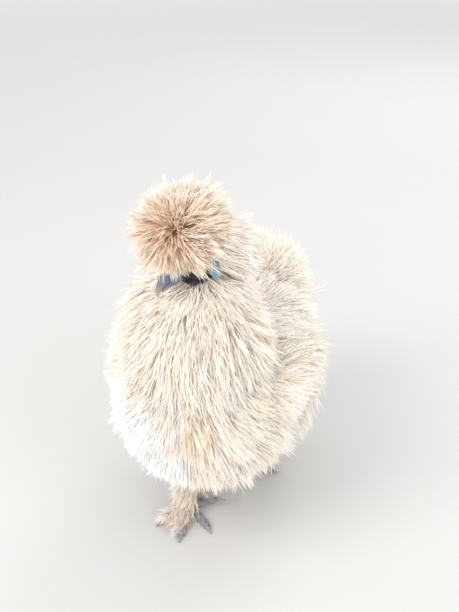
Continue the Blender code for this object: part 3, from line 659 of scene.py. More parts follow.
def swirls(places, strength, seed, waves=7, size=0.034):
    # smooth turns that neighbouring tufts share
    draw = np.random.default_rng(seed + 1000)
    ways = draw.normal(size=(waves, 3)) * 2 * np.pi / size * draw.uniform(0.35, 1.0, (waves, 1))
    return strength * np.sin(places @ ways.T + draw.uniform(0, 2 * np.pi, waves)).sum(1) / math.sqrt(waves)


def evenScale(places):
    return np.ones(len(places))


# what a coat has where its own dictionary says nothing else
plainCoat = {
    "reach": 0.0016,  # how far from the skin a root may be
    "scale": evenScale, "swirl": 0.30, "ruffle": 0.14, "arch": 0.75, "wave": 3.6, "least": 0.35,
    "floor": 0.0012,
    "guard": 0.20, "guardFrom": 0.88,  # how much longer a few tufts are, and the draw they start from
    # the least and most of each tuft and of each of its strands
    "lengths": (0.74, 1.16), "strandLengths": (0.80, 1.10),
    "lifts": (0.66, 1.10), "strandLifts": (0.86, 1.10),
    # places along a strand and its width there
    "stops": (0.0, 0.3, 0.6, 0.85, 1.0), "taper": (0.8, 1.0, 0.85, 0.5, 0.0),
    "widths": (0.7, 1.25), "roll": 1.1,
    # a strand's length and half width on the unwrap, and how far it may lie from its root there
    "patch": (0.003, 0.0004), "patchStray": 0.0012,
}


def stripMesh(name, places, half):
    # a flat strip along each row of places, half to either side, that ends in a point
    total, count = places.shape[:2]
    edges = np.stack([(places + half)[:, :-1], (places - half)[:, :-1]], 2).reshape(total, -1, 3)
    verts = np.concatenate([edges, places[:, -1:]], 1)
    each = verts.shape[1]
    quads = [(2 * i, 2 * i + 1, 2 * i + 3, 2 * i + 2) for i in range(count - 2)]
    pattern = np.array([corner for quad in quads for corner in quad] + [each - 3, each - 2, each - 1])
    loops = (np.arange(total)[:, None] * each + pattern).ravel()
    sizes = np.tile([4] * len(quads) + [3], total)
    mesh = bpy.data.meshes.new(name)
    mesh.vertices.add(total * each)
    mesh.vertices.foreach_set("co", verts.astype(np.float32).ravel())
    mesh.loops.add(len(loops))
    mesh.loops.foreach_set("vertex_index", loops.astype(np.int32))
    mesh.polygons.add(len(sizes))
    mesh.polygons.foreach_set("loop_start", np.concatenate([[0], np.cumsum(sizes)[:-1]]).astype(np.int32))
    mesh.update(calc_edges=True)
    return mesh, loops


def growCoat(name, spots, lie, look, seed, outward=None):
    # tufts of thin, tapered strands that rise from the skin and bend along the lie
    look = {**plainCoat, **look}
    draw = np.random.default_rng(seed)
    kept, roots, normals, uvs = onGround(spots, look["reach"])
    if outward is not None:
        roots, normals = spots[kept], outward[kept]
    tufts, strands = len(roots), look["strands"]
    each, every = (tufts, 1, 1), (tufts, strands, 1)
    # the way that each tuft lies over the skin
    pull = lie(roots - shiftRow, normals) if callable(lie) else lie[kept]
    way = unit(pull - normals * (pull * normals).sum(1, keepdims=True))
    side = np.cross(normals, way)
    stray = draw.normal(0, look["stray"], (tufts, 1)) + swirls(roots, look["swirl"], seed)[:, None]
    way, side = way * np.cos(stray) + side * np.sin(stray), side * np.cos(stray) - way * np.sin(stray)
    # how far each strand reaches along it and rises over the skin
    scale = look["scale"](roots - shiftRow)[:, None, None]
    scale = scale * (1.0 + look["guard"] * (draw.random(each) > look["guardFrom"]))
    reach = look["length"] * scale * draw.uniform(*look["lengths"], each)
    reach = reach * draw.uniform(*look["strandLengths"], every)
    depth = look["depth"] * scale * draw.uniform(*look["lifts"], each)
    depth = depth * (1.0 + swirls(roots, look["ruffle"], seed + 500)[:, None, None])
    depth = depth * draw.uniform(*look["strandLifts"], every)
    along = np.sqrt(np.maximum(reach**2 - depth**2, (look["least"] * reach) ** 2))
    angle = draw.normal(0, look["fan"], every)
    offset = look["spread"] * np.sqrt(draw.random(every))
    spin = draw.uniform(0, 2 * np.pi, every)
    aside, ahead = offset * np.cos(spin), offset * np.sin(spin)
    wave = look["curl"] * draw.uniform(-1, 1, every)
    phase = draw.uniform(0, 2 * np.pi, every)
    # its places, from root to tip
    s = np.array(look["stops"])
    pinch, travel = 1.0 - look["pinch"] * s, along * s
    forward = ahead * pinch + travel * np.cos(angle)
    lateral = aside * pinch + travel * np.sin(angle) * pinch
    lateral = lateral + wave * np.sin(look["wave"] * s + phase) * s
    rise = -look["sink"] + (depth + look["sink"]) * s ** look["arch"]
    rise = rise - travel**2 / (2 * look["round"])
    places = roots[:, None, None] + way[:, None, None] * forward[..., None]
    places = places + side[:, None, None] * lateral[..., None] + normals[:, None, None] * rise[..., None]
    places[..., 2] -= look["droop"] * s**2
    places[..., 2] = np.maximum(places[..., 2], look["floor"])
    places = places.reshape(-1, len(s), 3)
    total = len(places)
    # its width, each strand turned a little about its own length
    heading = unit(np.gradient(places, axis=1))
    roll = draw.uniform(-look["roll"], look["roll"], (total, 1, 1))
    up, right = (np.repeat(rows, strands, 0)[:, None] for rows in (normals, side))
    across = unit(np.cross(heading, up * np.cos(roll) + right * np.sin(roll)))
    thick = look["width"] * draw.uniform(*look["widths"], (total, 1, 1)) * np.array(look["taper"])[:, None]
    mesh, loops = stripMesh(name, places, across * thick / 2)
    # what the finish reads: how near the tip, a tone for the strand, and its place on the unwrap
    tone = np.repeat(draw.random(tufts), strands) * 0.75 + draw.random(total) * 0.25
    tips = np.repeat(s, 2)[:-1]
    for label, values in (("tip", np.tile(tips, total)), ("tint", np.repeat(tone, len(tips)))):
        mesh.attributes.new(label, "FLOAT", "POINT").data.foreach_set("value", values.astype(np.float32))
    long, wide = look["patch"]
    patch = np.zeros((len(tips), 2))
    patch[:, 0] = (tips - 0.5) * long
    patch[:-1, 1] = np.tile([wide, -wide], len(s) - 1)
    where = np.repeat(uvs, strands, 0) + draw.uniform(-look["patchStray"], look["patchStray"], (total, 2))
    unwrap = (where[:, None] + patch).reshape(-1, 2)[loops]
    mesh.uv_layers.new(name="OFBake").data.foreach_set("uv", unwrap.astype(np.float32).ravel())
    print(name, total, "strands,", total * (len(tips) - 2), "triangles")
    return inScene(name, mesh)


def columns(*values):
    return np.stack(np.broadcast_arrays(*values), 1)


def rising(values, low, high):
    # 0 below low, 1 above high, and straight between them
    return np.interp(values, (low, high), (0.0, 1.0))


def falling(values, low, high):
    return np.interp(values, (low, high), (1.0, 0.0))


# how the plumage lies: each takes places and normals of the skin, and gives a way for each place
def torsoLie(place, normal):
    # outwards over the wings on the back, and down and back elsewhere
    return columns(place[:, 0] * np.interp(place[:, 2], (0.160, 0.188), (5.0, 16.0)), 0.60, -0.80)


def neckLie(place, normal):
    return columns(place[:, 0] * 7.0, (place[:, 1] + 0.036) * 4.0, -1.0)


def rumpLie(place, normal):
    # up from the back, over the top of the tail and down behind it
    return columns(place[:, 0] * 9.0, 0.7, np.interp(place[:, 1], (0.100, 0.134), (0.80, -0.80)))


def wingLie(place, normal):
    return columns(np.sign(place[:, 0]) * 0.30, 0.80, -0.60)


def shoulderLie(place, normal):
    return columns(np.sign(place[:, 0]) * 0.9, 0.30, np.where(place[:, 0] < 0, 0.35, -0.90))


def thighLie(place, normal):
    return columns(np.sign(place[:, 0]) * 0.15, 0.10, -1.0)


def capeLie(place, normal):
    return columns(place[:, 0] * 4.0, 0.90, -0.55)


def shankLie(place, normal):
    return columns(np.sign(place[:, 0]) * 0.30 + normal[:, 0] * 0.25, normal[:, 1] * 0.25, -1.0)


def footLie(side):
    # feathers on the middle and outer toes spread forwards and outwards over the floor
    return lambda place, normal: columns(
        sideSigns[side] * 0.30, -0.70 + (place[:, 1] - footPlace(side).y) * 14.0, -0.10
    )


plumeLook = {
    "patchScale": 26.0, "patchShare": 0.5, "body": (0.15, 0.85), "warmRange": 0.22, "warmShare": 0.8,
}
downColours = {
    # root, end, warmer tufts, and the tone at which these start
    "white": ((0.96, 0.89, 0.79), (0.98, 0.945, 0.88), (0.86, 0.66, 0.47), 0.96),
    "flank": ((0.96, 0.91, 0.84), (0.98, 0.95, 0.90), (0.90, 0.77, 0.62), 1.00),
    "thigh": ((0.975, 0.97, 0.96), (0.985, 0.985, 0.985), (0.95, 0.94, 0.91), 1.10),
    "hackle": ((0.96, 0.88, 0.78), (0.98, 0.94, 0.88), (0.90, 0.75, 0.59), 0.94),
    "shank": ((0.80, 0.68, 0.59), (0.94, 0.87, 0.80), (0.80, 0.61, 0.48), 0.84),
    "wisp": ((0.90, 0.80, 0.69), (0.92, 0.79, 0.64), (0.82, 0.61, 0.42), 0.80),
    "edge": ((0.95, 0.87, 0.77), (0.955, 0.875, 0.77), (0.86, 0.68, 0.51), 0.90),
}


def plumeFinish(kind, colours, look, deep=None):
    # pale at the tip, warmer near the root, with a few darker tufts, and deeper round one place where asked
    finish = Finish(kind + "Down", Roughness=0.78, Specular_IOR_Level=0.25)
    root, end, warmer, warmFrom = colours
    tip, tint = finish.attribute("tip"), finish.attribute("tint")
    patches = finish.noise(look["patchScale"], 2.0)
    colour = finish.mix(tip.between(*look["body"]), root, end)
    warm = (tint + patches * look["patchShare"]).between(warmFrom, warmFrom + look["warmRange"])
    colour = finish.mix(warm * look["warmShare"], colour, warmer)
    if deep:
        far = finish.near(headSpot(*deep["spot"]), *deep["reach"])
        colour = finish.mix(far * (1.0 - tip * 0.35) * deep["share"], colour, deep["colour"])
    finish.set("Base Color", colour)
    finish.set("Roughness", 0.86 - tint * 0.16)
    return finish.material


down = {kind: plumeFinish(kind, colours, plumeLook) for kind, colours in downColours.items()}


def grownPiece(name, spots, lie, look, seed, material, nodes=(), outward=None):
    dressed(growCoat(name, spots, lie, look, seed, outward), material, nodes)


def torsoScale(places):
    # fuller over the shoulders, where the wings leave the body, and towards the tail
    x, y, z = places.T
    shoulder = rising(np.abs(x), 0.018, 0.040) * rising(z, 0.148, 0.172) * (y < 0.07)
    return 1.0 + 0.14 * shoulder + 0.40 * rising(y, 0.045, 0.088)


torsoCoat = {
    "strands": 10, "length": 0.043, "depth": 0.027, "width": 0.00085, "spread": 0.0048, "fan": 0.15,
    "stray": 0.22, "pinch": 0.60, "curl": 0.0024, "sink": 0.001, "round": 0.085, "droop": 0.003,
    "swirl": 0.34, "scale": torsoScale,
}
torsoCoats = {
    "edge": dict(torsoCoat, depth=0.024, guard=0.06),
    "down": dict(
        torsoCoat, length=0.036, depth=0.0225, width=0.0007, pinch=0.45, curl=0.0014, stray=0.14,
        swirl=0.18, guard=0.05,
    ),
    "belly": dict(torsoCoat, length=0.034, depth=0.019, droop=0.001),
    "wisp": dict(
        torsoCoat, length=0.046, depth=0.026, spread=0.0028, pinch=0.9, curl=0.0035, stray=0.30, strands=6,
    ),
    "cape": dict(torsoCoat, length=0.040, depth=0.018, round=0.16, guard=0.03),
}
torsoAreas = {
    "tufts": 10200, "seed": 41,
    "front": -0.004,  # where the breast ends and the back starts
    "low": 0.112,  # the belly's top
    # the white down of the right flank: its top from side to middle, its fall to the back, and its end
    "flankAcross": (-0.055, -0.012, 0.012), "flankTops": (0.197, 0.179, 0.150),
    "flankFall": 0.75, "flankFallFrom": -0.025, "flankEnd": 0.05,
    "edgeAcross": 0.016, "edgeWidth": 0.022,  # the breast's coat over its top, whose tips are tan
    "capeAcross": 0.034, "capeAlong": (-0.058, -0.008), "capeLow": 0.128,  # over the front of the left wing
}


def makeTorsoCoats(areas, coats):
    spots = scattered(formOf("torso"), areas["tufts"], areas["seed"])
    x, y, z = (spots - shiftRow).T
    fall = areas["flankFall"] * np.maximum(y - areas["flankFallFrom"], 0.0)
    line = np.interp(x, areas["flankAcross"], areas["flankTops"]) - fall
    ahead, front = y < areas["flankEnd"], y < areas["front"]
    downy = (x < areas["flankAcross"][-1]) & ahead & (z < line)
    edge = (x < areas["edgeAcross"]) & ahead & ~downy & (z < line + areas["edgeWidth"])
    low = ~downy & ~edge & (z < areas["low"])
    rest = ~(downy | edge | low)
    capeFrom, capeTo = areas["capeAlong"]
    cape = (x > areas["capeAcross"]) & (y > capeFrom) & (y < capeTo) & (z > areas["capeLow"])
    grownPiece("coatBreast", spots[front & rest], torsoLie, torsoCoat, 51, down["white"], ["torso"])
    grownPiece("coatBelly", spots[low], torsoLie, coats["belly"], 52, down["flank"])
    grownPiece("coatBack", spots[~front & rest], torsoLie, torsoCoat, 53, down["flank"])
    grownPiece("coatCape", spots[cape], capeLie, coats["cape"], 64, down["white"])
    grownPiece("coatFlank", spots[downy], torsoLie, coats["down"], 59, down["thigh"])
    grownPiece("coatWisps", spots[edge][::2], torsoLie, coats["wisp"], 62, down["wisp"])
    grownPiece("coatEdge", spots[edge], torsoLie, coats["edge"], 63, down["edge"])


makeTorsoCoats(torsoAreas, torsoCoats)


def neckScale(places):
    # the hackle is fullest behind the head, and short under the beak and where it meets the breast
    x, y, z = places.T
    rise = np.interp(z, (0.145, 0.170, 0.215, 0.250, 0.285), (0.70, 0.95, 1.0, 1.12, 1.05))
    facing = falling(y - 0.5 * x, -0.072, -0.040)
    return rise * (1.0 - 0.72 * facing * rising(z, 0.212, 0.246))


neckCoat = dict(torsoCoat, length=0.040, depth=0.027, round=0.22, droop=0.003, spread=0.0042, scale=neckScale)
neckSpots = scattered(formOf("neck"), 4250, 42)
grownPiece("coatHackle", neckSpots, neckLie, neckCoat, 54, down["hackle"], ["neck"])

napeLook = {
    "coat": dict(neckCoat, length=0.033, depth=0.0225, round=0.10, scale=evenScale, reach=0.02),
    "tufts": 620, "drawn": 2400, "seed": 48, "furthest": -0.0085, "highest": 0.014,
    "middle": (0.004, 0.0, -0.004), "lie": (-0.8, 0.0, -0.8),
}


def makeNape(look):
    # the hackle's top rises behind the head and meets the crest
    bm = bmesh.new()
    addSkull(bm)
    spots = scattered(bm, look["drawn"], look["seed"])
    x, _, z = inHead(spots).T
    spots = spots[(x < look["furthest"]) & (z < look["highest"])][: look["tufts"]]
    out = unit(inHead(spots) + np.array(look["middle"])) @ headTurn.T
    lie = np.tile(np.array(look["lie"]) @ headTurn.T, (len(spots), 1)) + out * np.array((1.0, 1.0, 0.0))
    grownPiece("coatNape", spots, lie, look["coat"], 58, down["hackle"], outward=out)


makeNape(napeLook)

tailCoat = dict(
    torsoCoat, length=0.046, depth=0.0285, round=0.12, stray=0.34, fan=0.22, curl=0.004, droop=0.006,
    guard=0.10, scale=evenScale,
)
grownPiece("coatTail", scattered(formOf("rump"), 2300, 43), rumpLie, tailCoat, 55, down["white"], ["tail"])

wingCoat = dict(
    torsoCoat, length=0.042, depth=0.0118, round=0.16, stray=0.24, droop=0.001, scale=evenScale, guard=0.02,
)
shoulderCoat = dict(wingCoat, round=0.30, stray=0.25, curl=0.003)
thighCoat = dict(torsoCoat, length=0.036, depth=0.019, round=0.10, droop=0.002, scale=evenScale)
shankCoat = dict(
    torsoCoat, length=0.027, depth=0.0105, round=0.10, spread=0.0024, width=0.0007, curl=0.0022, droop=0.001,
    fan=0.2, stray=0.36, pinch=0.85, strands=8, scale=evenScale,
)
footCoat = dict(shankCoat, length=0.017, depth=0.0070, droop=0.003, reach=0.05)
sideLooks = {
    "left": {
        "Wing": dict(wingCoat, length=0.034, depth=0.0085),
        "Shoulder": dict(shoulderCoat, length=0.028, depth=0.0030), "thigh": "flank", "seed": 0,
    },
    "right": {
        "Wing": dict(wingCoat, length=0.033, depth=0.0090),
        "Shoulder": dict(shoulderCoat, length=0.029, guard=0.0), "thigh": "thigh", "seed": 1,
    },
}
sideAreas = {
    # the shoulder takes the wing's front and upper edge
    "shoulderLow": 0.160, "shoulderEnd": 0.050, "shoulderFront": -0.022,
    # the shank is feathered on its outside
    "shankInner": -0.0035, "shankLow": 0.010,
    # and so are the tops of the middle and outer toes, as far as the claws
    "toes": ("3", "4"), "toeRows": 9, "toeLow": 0.0045, "toeOut": (0.15, -0.1, 1.0),
}
# tufts drawn, and the seeds of their places and of their strands
sideTufts = {
    "Wing": (2150, 60, 70), "Thigh": (1700, 80, 90), "Shoulder": (2200, 140, 150),
    "Shank": (1300, 100, 110), "Foot": (900, 120, 130),
}


def makeSideCoats(side, look, areas):
    def drawn(kind, form):
        count, seed, _ = sideTufts[kind]
        return scattered(form, count, seed + look["seed"])

    def grown(kind, spots, lie, coat, plume, nodes=(), outward=None):
        seed = sideTufts[kind][2] + look["seed"]
        grownPiece("coat" + kind + side.title(), spots, lie, coat, seed, down[plume], nodes, outward=outward)

    sign, wing, thigh = sideSigns[side], formOf("wing", side), formOf("thigh", side)
    grown("Wing", drawn("Wing", wing), wingLie, look["Wing"], "white", [f"wing_{side}"])
    grown("Thigh", drawn("Thigh", thigh), thighLie, thighCoat, look["thigh"], [f"thigh_{side}"])
    spots = drawn("Shoulder", formOf("wing", side))
    _, y, z = (spots - shiftRow).T
    upper = (z > areas["shoulderLow"]) & (y < areas["shoulderEnd"])
    spots = spots[upper | (y < areas["shoulderFront"])]
    grown("Shoulder", spots, shoulderLie, look["Shoulder"], "white")
    spots = drawn("Shank", formOf("shank", side))
    x, _, z = (spots - shiftRow).T
    spots = spots[((x - hockPlace(side).x) * sign > areas["shankInner"]) & (z > areas["shankLow"])]
    grown("Shank", spots, shankLie, shankCoat, "shank", [f"shank_{side}"])
    bm = bmesh.new()
    for toe in areas["toes"]:
        rows = [(*spot, size, size) for spot, size in toeSpots(side, toe)[: areas["toeRows"]]]
        addLoft(bm, rows, toeAcross(side, toe), 12)
    spots = drawn("Foot", bm)
    spots = spots[spots[:, 2] > areas["toeLow"]]
    aside, ahead, up = areas["toeOut"]
    out = unit(np.tile((sign * aside, ahead, up), (len(spots), 1)))
    grown("Foot", spots, footLie(side), footCoat, "shank", outward=out)


for side, look in sideLooks.items():
    makeSideCoats(side, look, sideAreas)

crestLook = {
    "place": (0.0005, 0.0, 0.0260), "rootSize": 0.0195, "whorl": (0.040, 0.015, 0.060), "tufts": 1950,
    "lowest": 0.002, "front": 0.008, "frontLow": 0.016, "seed": 44, "sag": -0.15, "tangle": 0.28,
    "coat": {
        "strands": 11, "length": 0.029, "depth": 0.0210, "width": 0.00085, "spread": 0.0033, "fan": 0.22,
        "stray": 0.40, "pinch": 0.93, "curl": 0.0026, "sink": 0.004, "round": 0.06, "droop": 0.0010,
        "reach": 0.08, "lifts": (0.50, 1.22), "arch": 0.85, "swirl": 0.40, "lengths": (0.58, 1.24),
        "guard": 0.36,
    },
    "colours": ((0.86, 0.70, 0.56), (0.97, 0.90, 0.82), (0.80, 0.58, 0.42), 0.88), "warmShare": 0.45,
    "deep": {
        "spot": (0.018, 0.016, 0.034), "reach": (0.012, 0.040), "colour": (0.86, 0.63, 0.46), "share": 0.75,
    },
}


def crestScale(places):
    # short over the face, flatter on top and longest at the back
    x, y, z = inHead(places + shiftRow).T
    facing = rising(x, -0.012, 0.006) * falling(z, 0.012, 0.034)
    above = rising(z, 0.026, 0.045)
    behind = falling(x, -0.018, -0.004) * (1.0 - above)
    aside = rising(np.abs(y), 0.004, 0.011) * falling(x, 0.0, 0.006) * falling(z, 0.012, 0.028)
    return 1.0 - 0.54 * facing - 0.33 * above - 0.35 * np.maximum(behind, aside)


def makeCrest(look):
    draw = np.random.default_rng(look["seed"])
    out = unit(draw.normal(size=(look["tufts"], 3)))
    spots = np.array(look["place"]) + out * look["rootSize"]
    x, _, z = spots.T
    good = (z > look["lowest"]) & ((x < look["front"]) | (z > look["frontLow"]))
    spots, out = spots[good], out[good]
    pull = unit(spots - np.array(look["whorl"])) + np.array((0.0, 0.0, look["sag"]))
    pull = (pull + draw.normal(0, look["tangle"], spots.shape)) @ headTurn.T
    plume = dict(plumeLook, warmShare=look["warmShare"])
    material = plumeFinish("crest", look["colours"], plume, look["deep"])
    coat = dict(look["coat"], scale=crestScale)
    grownPiece("coatCrest", fromHead(spots), pull, coat, 56, material, ["crest"], out @ headTurn.T)


makeCrest(crestLook)
print("coat made")

eyeLook = {
    "iris": (0.060, 0.028, 0.012), "rim": (0.012, 0.008, 0.006), "dark": (0.003, 0.003, 0.003),
    "pupilReach": (0.0019, 0.0021), "irisReach": (0.0034, 0.0042),
}


def makeEyes(look):
    for side, sign in sideSigns.items():
        bm = bmesh.new()
        x, y, z = headShape["eye"]
        addBall(bm, (x, y * sign, z), [headShape["eyeSize"]] * 3, 40, headMatrix)
        eye = pieceFrom(bm, "eye_" + side)
        smoothed(eye)
        out = eyeWay(sign) * headShape["eyeSize"]
        middle = headSpot(x + out.x, y * sign + out.y, z + out.z)
        finish = Finish("hen_eye_" + side, Roughness=0.08, Coat_Weight=1.0, Coat_Roughness=0.03)
        threads = finish.noise(1400.0, 3.0)
        colour = finish.mix(threads, look["rim"], look["iris"])
        colour = finish.mix(finish.near(middle, *look["irisReach"]), look["rim"], colour)
        colour = finish.mix(finish.near(middle, *look["pupilReach"]), colour, look["dark"])
        finish.set("Base Color", colour)
        dressed(eye, finish.material, ["eye_" + side])


makeEyes(eyeLook)

beakLook = {
    "upper": (
        (0.0185, 0.0004, 0.0062, 0.0052), (0.0260, 0.0000, 0.0051, 0.0047),
        (0.0310, -0.0015, 0.0038, 0.0040), (0.0355, -0.0042, 0.0025, 0.0031),
        (0.0388, -0.0080, 0.0013, 0.0019), (0.0400, -0.0115, 0.0000, 0.0000),
    ),
    "lower": (
        (0.0185, -0.0052, 0.0054, 0.0036), (0.0260, -0.0054, 0.0043, 0.0031),
        (0.0305, -0.0064, 0.0030, 0.0025), (0.0340, -0.0084, 0.0016, 0.0014),
        (0.0354, -0.0096, 0.0000, 0.0000),
    ),
    "flat": {"upper": -0.45, "lower": -1.0},  # how far down the section goes, of its half height
    "nostril": (0.0252, 0.0049, 0.0018), "nostrilSize": (0.0016, 0.0012, 0.0008),
    "base": (0.085, 0.125, 0.185), "middle": (0.16, 0.21, 0.28), "tip": (0.42, 0.36, 0.30),
}


def makeBeak(look):
    finish = Finish("beakHorn", Roughness=0.38, Specular_IOR_Level=0.45)
    grain = finish.noise(420.0, 4.0)
    near = finish.near(headSpot(0.0395, 0.0, -0.0105), 0.0025, 0.0125)
    colour = finish.mix(grain.between(0.3, 0.7), look["base"], look["middle"])
    finish.set("Base Color", finish.mix(near, colour, look["tip"]))
    finish.set("Roughness", 0.44 - grain * 0.14)
    finish.set("Normal", finish.bump(grain, 0.3, 0.0003))
    for part in ("upper", "lower"):
        bm = bmesh.new()
        rows = [(x, 0.0, z, w, h) for x, z, w, h in look[part]]
        addLoft(bm, between(rows, 6), (0, 1, 0), 40, 0.0, look["flat"][part], headMatrix)
        beak = pieceFrom(bm, "beak_" + part)
        if part == "upper":
            cutter = bmesh.new()
            x, y, z = look["nostril"]
            for sign in sideSigns.values():
                addBall(cutter, (x, y * sign, z), look["nostrilSize"], 16, headMatrix)
            tool = pieceFrom(cutter, "nostrils")
            dig = beak.modifiers.new("dig", "BOOLEAN")
            dig.operation, dig.object, dig.solver = "DIFFERENCE", tool, "EXACT"
            settled(beak)
            bpy.data.objects.remove(tool)
        smoothed(beak)
        dressed(beak, finish.material, ["beak_" + part])


makeBeak(beakLook)

clawLook = {
    "root": (0.20, 0.18, 0.19), "tip": (0.46, 0.42, 0.38), "start": 0.78, "overlap": 0.0012, "slope": 0.45,
    "girth": 0.62, "thinning": 0.75, "floor": 0.0011,
}


def clawRows(side, toe, look):
    # the claw bends down along its length, as far as the floor lets it
    root, ahead, length, girth, rise = toeLine(side, toe)
    height = girth * look["start"] * legShape["sink"] + rise
    start = root + ahead * (length - look["overlap"]) + Vector((0, 0, height))
    reach = legShape["clawLength"] + look["overlap"]
    drop = min(start.z - look["floor"], reach * look["slope"])
    rows = []
    for t in (0.0, 0.2, 0.4, 0.6, 0.8, 0.93, 1.0):
        place = start + ahead * (reach * t) + Vector((0, 0, rise / length * reach * t - drop * t * t))
        size = girth * look["girth"] * (1.0 - t) ** look["thinning"]
        rows.append((*place, size, size * 1.1))
    return rows


def makeClaws(look):
    finish = Finish("clawHorn", Roughness=0.40)
    grain = finish.noise(700.0, 3.0)
    finish.set("Base Color", finish.mix(grain.between(0.35, 0.7), look["root"], look["tip"]))
    finish.set("Normal", finish.bump(grain, 0.25, 0.0003))
    bm = bmesh.new()
    toes = [(side, toe) for side in sideSigns for toe in legShape["toes"]]
    for side, toe in toes:
        addLoft(bm, between(clawRows(side, toe, look), 2), toeAcross(side, toe), 14)
    claws = pieceFrom(bm, "claws")
    smoothed(claws)
    dressed(claws, finish.material, [f"claw_{side}_{toe}" for side, toe in toes])


makeClaws(clawLook)

plateLook = {
    "rows": 12, "swell": 1.0, "seed": 7, "dark": (0.17, 0.155, 0.18), "light": (0.44, 0.41, 0.43),
    # half width and half length, of the toe's girth and of the step to the next row, and thickness
    "toe": (0.72, 0.56, 0.00055), "grain": (0.26, 0.40, 0.0004), "grainTurns": (0.95, 1.45),
    # half widths of the middle and the other plates of a shank, of its girth, and half length and thickness
    "shank": (0.46, 0.30), "shankSizes": (0.0017, 0.0005), "shankTurns": (-1.25, -0.65, 0.0, 0.65, 1.25),
}


def plateTree():
    # a flat, round plate on each place, its thickness outwards and its width across
    tree = bpy.data.node_groups.new("legPlates", "GeometryNodeTree")
    sockets = {}
    for label, kind in (("Places", "Geometry"), ("Swell", "Float"), ("Seed", "Int"), ("Finish", "Material")):
        socket = tree.interface.new_socket(label, in_out="INPUT", socket_type="NodeSocket" + kind)
        sockets[label] = socket.identifier
    tree.interface.new_socket("Plates", in_out="OUTPUT", socket_type="NodeSocketGeometry")
    start, end = tree.nodes.new("NodeGroupInput"), tree.nodes.new("NodeGroupOutput")
    given = {label: Shade(tree, start.outputs[label]) for label in sockets}
    outward, across, size = (
        addNode(tree, "GeometryNodeInputNamedAttribute", {"data_type": "FLOAT_VECTOR"}, {"Name": label})
        for label in ("outward", "across", "size")
    )
    plate = addNode(tree, "GeometryNodeMeshUVSphere", inputs={"Segments": 12, "Rings": 7})
    turnKind = "FunctionNodeAlignRotationToVector"
    upright = addNode(tree, turnKind, {"axis": "Z"}, {"Vector": outward})
    inputs = {"Rotation": upright, "Vector": across}
    turned = addNode(tree, turnKind, {"axis": "X", "pivot_axis": "Z"}, inputs)
    inputs = {2: 0.90, 3: 1.10, "Seed": given["Seed"]}
    vary = addNode(tree, "FunctionNodeRandomValue", {"data_type": "FLOAT"}, inputs, 1)
    grown = {0: size, "Scale": vary * given["Swell"]}
    placed = addNode(tree, "GeometryNodeInstanceOnPoints", inputs={
        "Points": given["Places"], "Instance": plate, "Rotation": turned,
        "Scale": addNode(tree, "ShaderNodeVectorMath", {"operation": "SCALE"}, grown),
    })
    real = addNode(tree, "GeometryNodeRealizeInstances", inputs={0: placed})
    made = addNode(tree, "GeometryNodeSetMaterial", inputs={"Geometry": real, "Material": given["Finish"]})
    tree.links.new(made.link, end.inputs[0])
    return tree, sockets


def platePlaces(look):
    # where each plate of the toes and shanks sits: place, outward, across, half sizes
    up, rows = Vector((0, 0, 1)), []
    for side in sideSigns:
        for toe in legShape["toes"]:
            spots = toeSpots(side, toe, look["rows"])
            ahead, across = toeLine(side, toe)[1], toeAcross(side, toe)
            step = (spots[1][0] - spots[0][0]).length
            for spot, girth in spots[2:]:
                wide, long, thick = look["toe"]
                tilted = (up + ahead * 0.25).normalized()
                rows.append((spot + up * (girth * 0.82), tilted, across, (girth * wide, step * long, thick)))
                wide, long, thick = look["grain"]
                half = (girth * wide, step * long, thick)
                for sign in sideSigns.values():
                    for turn in look["grainTurns"]:
                        out = up * math.cos(turn) + across * sign * math.sin(turn)
                        rows.append((spot + out * girth * 0.93, out, across, half))
        for *spot, size, _ in between(shankRows(side), 4)[2:]:
            for turn in look["shankTurns"]:
                out = Vector((math.sin(turn), -math.cos(turn), 0.12))
                across = Vector((math.cos(turn), math.sin(turn), 0))
                half = (size * look["shank"][0 if turn == 0.0 else 1], *look["shankSizes"])
                rows.append((Vector(spot) + out * size * 0.96, out, across, half))
    return rows


def makePlates(look):
    finish = Finish("legPlate", Roughness=0.50)
    grain = finish.noise(300.0, 4.0)
    finish.set("Base Color", finish.mix(grain.between(0.30, 0.72), look["dark"], look["light"]))
    finish.set("Roughness", 0.58 - grain * 0.2)
    rows = platePlaces(look)
    mesh = bpy.data.meshes.new("legPlates")
    mesh.from_pydata([row[0] + henShift for row in rows], [], [])
    for label, k in (("outward", 1), ("across", 2), ("size", 3)):
        values = np.array([tuple(row[k]) for row in rows], np.float32)
        mesh.attributes.new(label, "FLOAT_VECTOR", "POINT").data.foreach_set("vector", values.ravel())
    plates = inScene("legPlates", mesh)
    tree, sockets = plateTree()
    grow = plates.modifiers.new("plates", "NODES")
    grow.node_group = tree
    grow[sockets["Swell"]], grow[sockets["Seed"]] = look["swell"], look["seed"]
    grow[sockets["Finish"]] = finish.material
    settled(plates)
    for vert in plates.data.vertices:
        vert.co.z = max(vert.co.z, 0.0002)
    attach(plates, "root")
    print("leg plates made,", len(plates.data.polygons), "faces")


makePlates(plateLook)

bristleLook = {
    "coat": {
        "strands": 4, "length": 0.0062, "depth": 0.0024, "width": 0.00032, "spread": 0.0009, "fan": 0.35,
        "stray": 0.35, "pinch": 0.3, "curl": 0.0005, "sink": 0.0003, "round": 0.03, "droop": 0.0,
        "reach": 0.004,
    },
    "tufts": 900, "seed": 47, "lie": (-1.0, 0.0, -0.45), "furthest": -0.010, "highest": 0.012,
    "eyeRoom": 0.0068, "dark": (0.010, 0.009, 0.012), "light": (0.06, 0.055, 0.065),
}


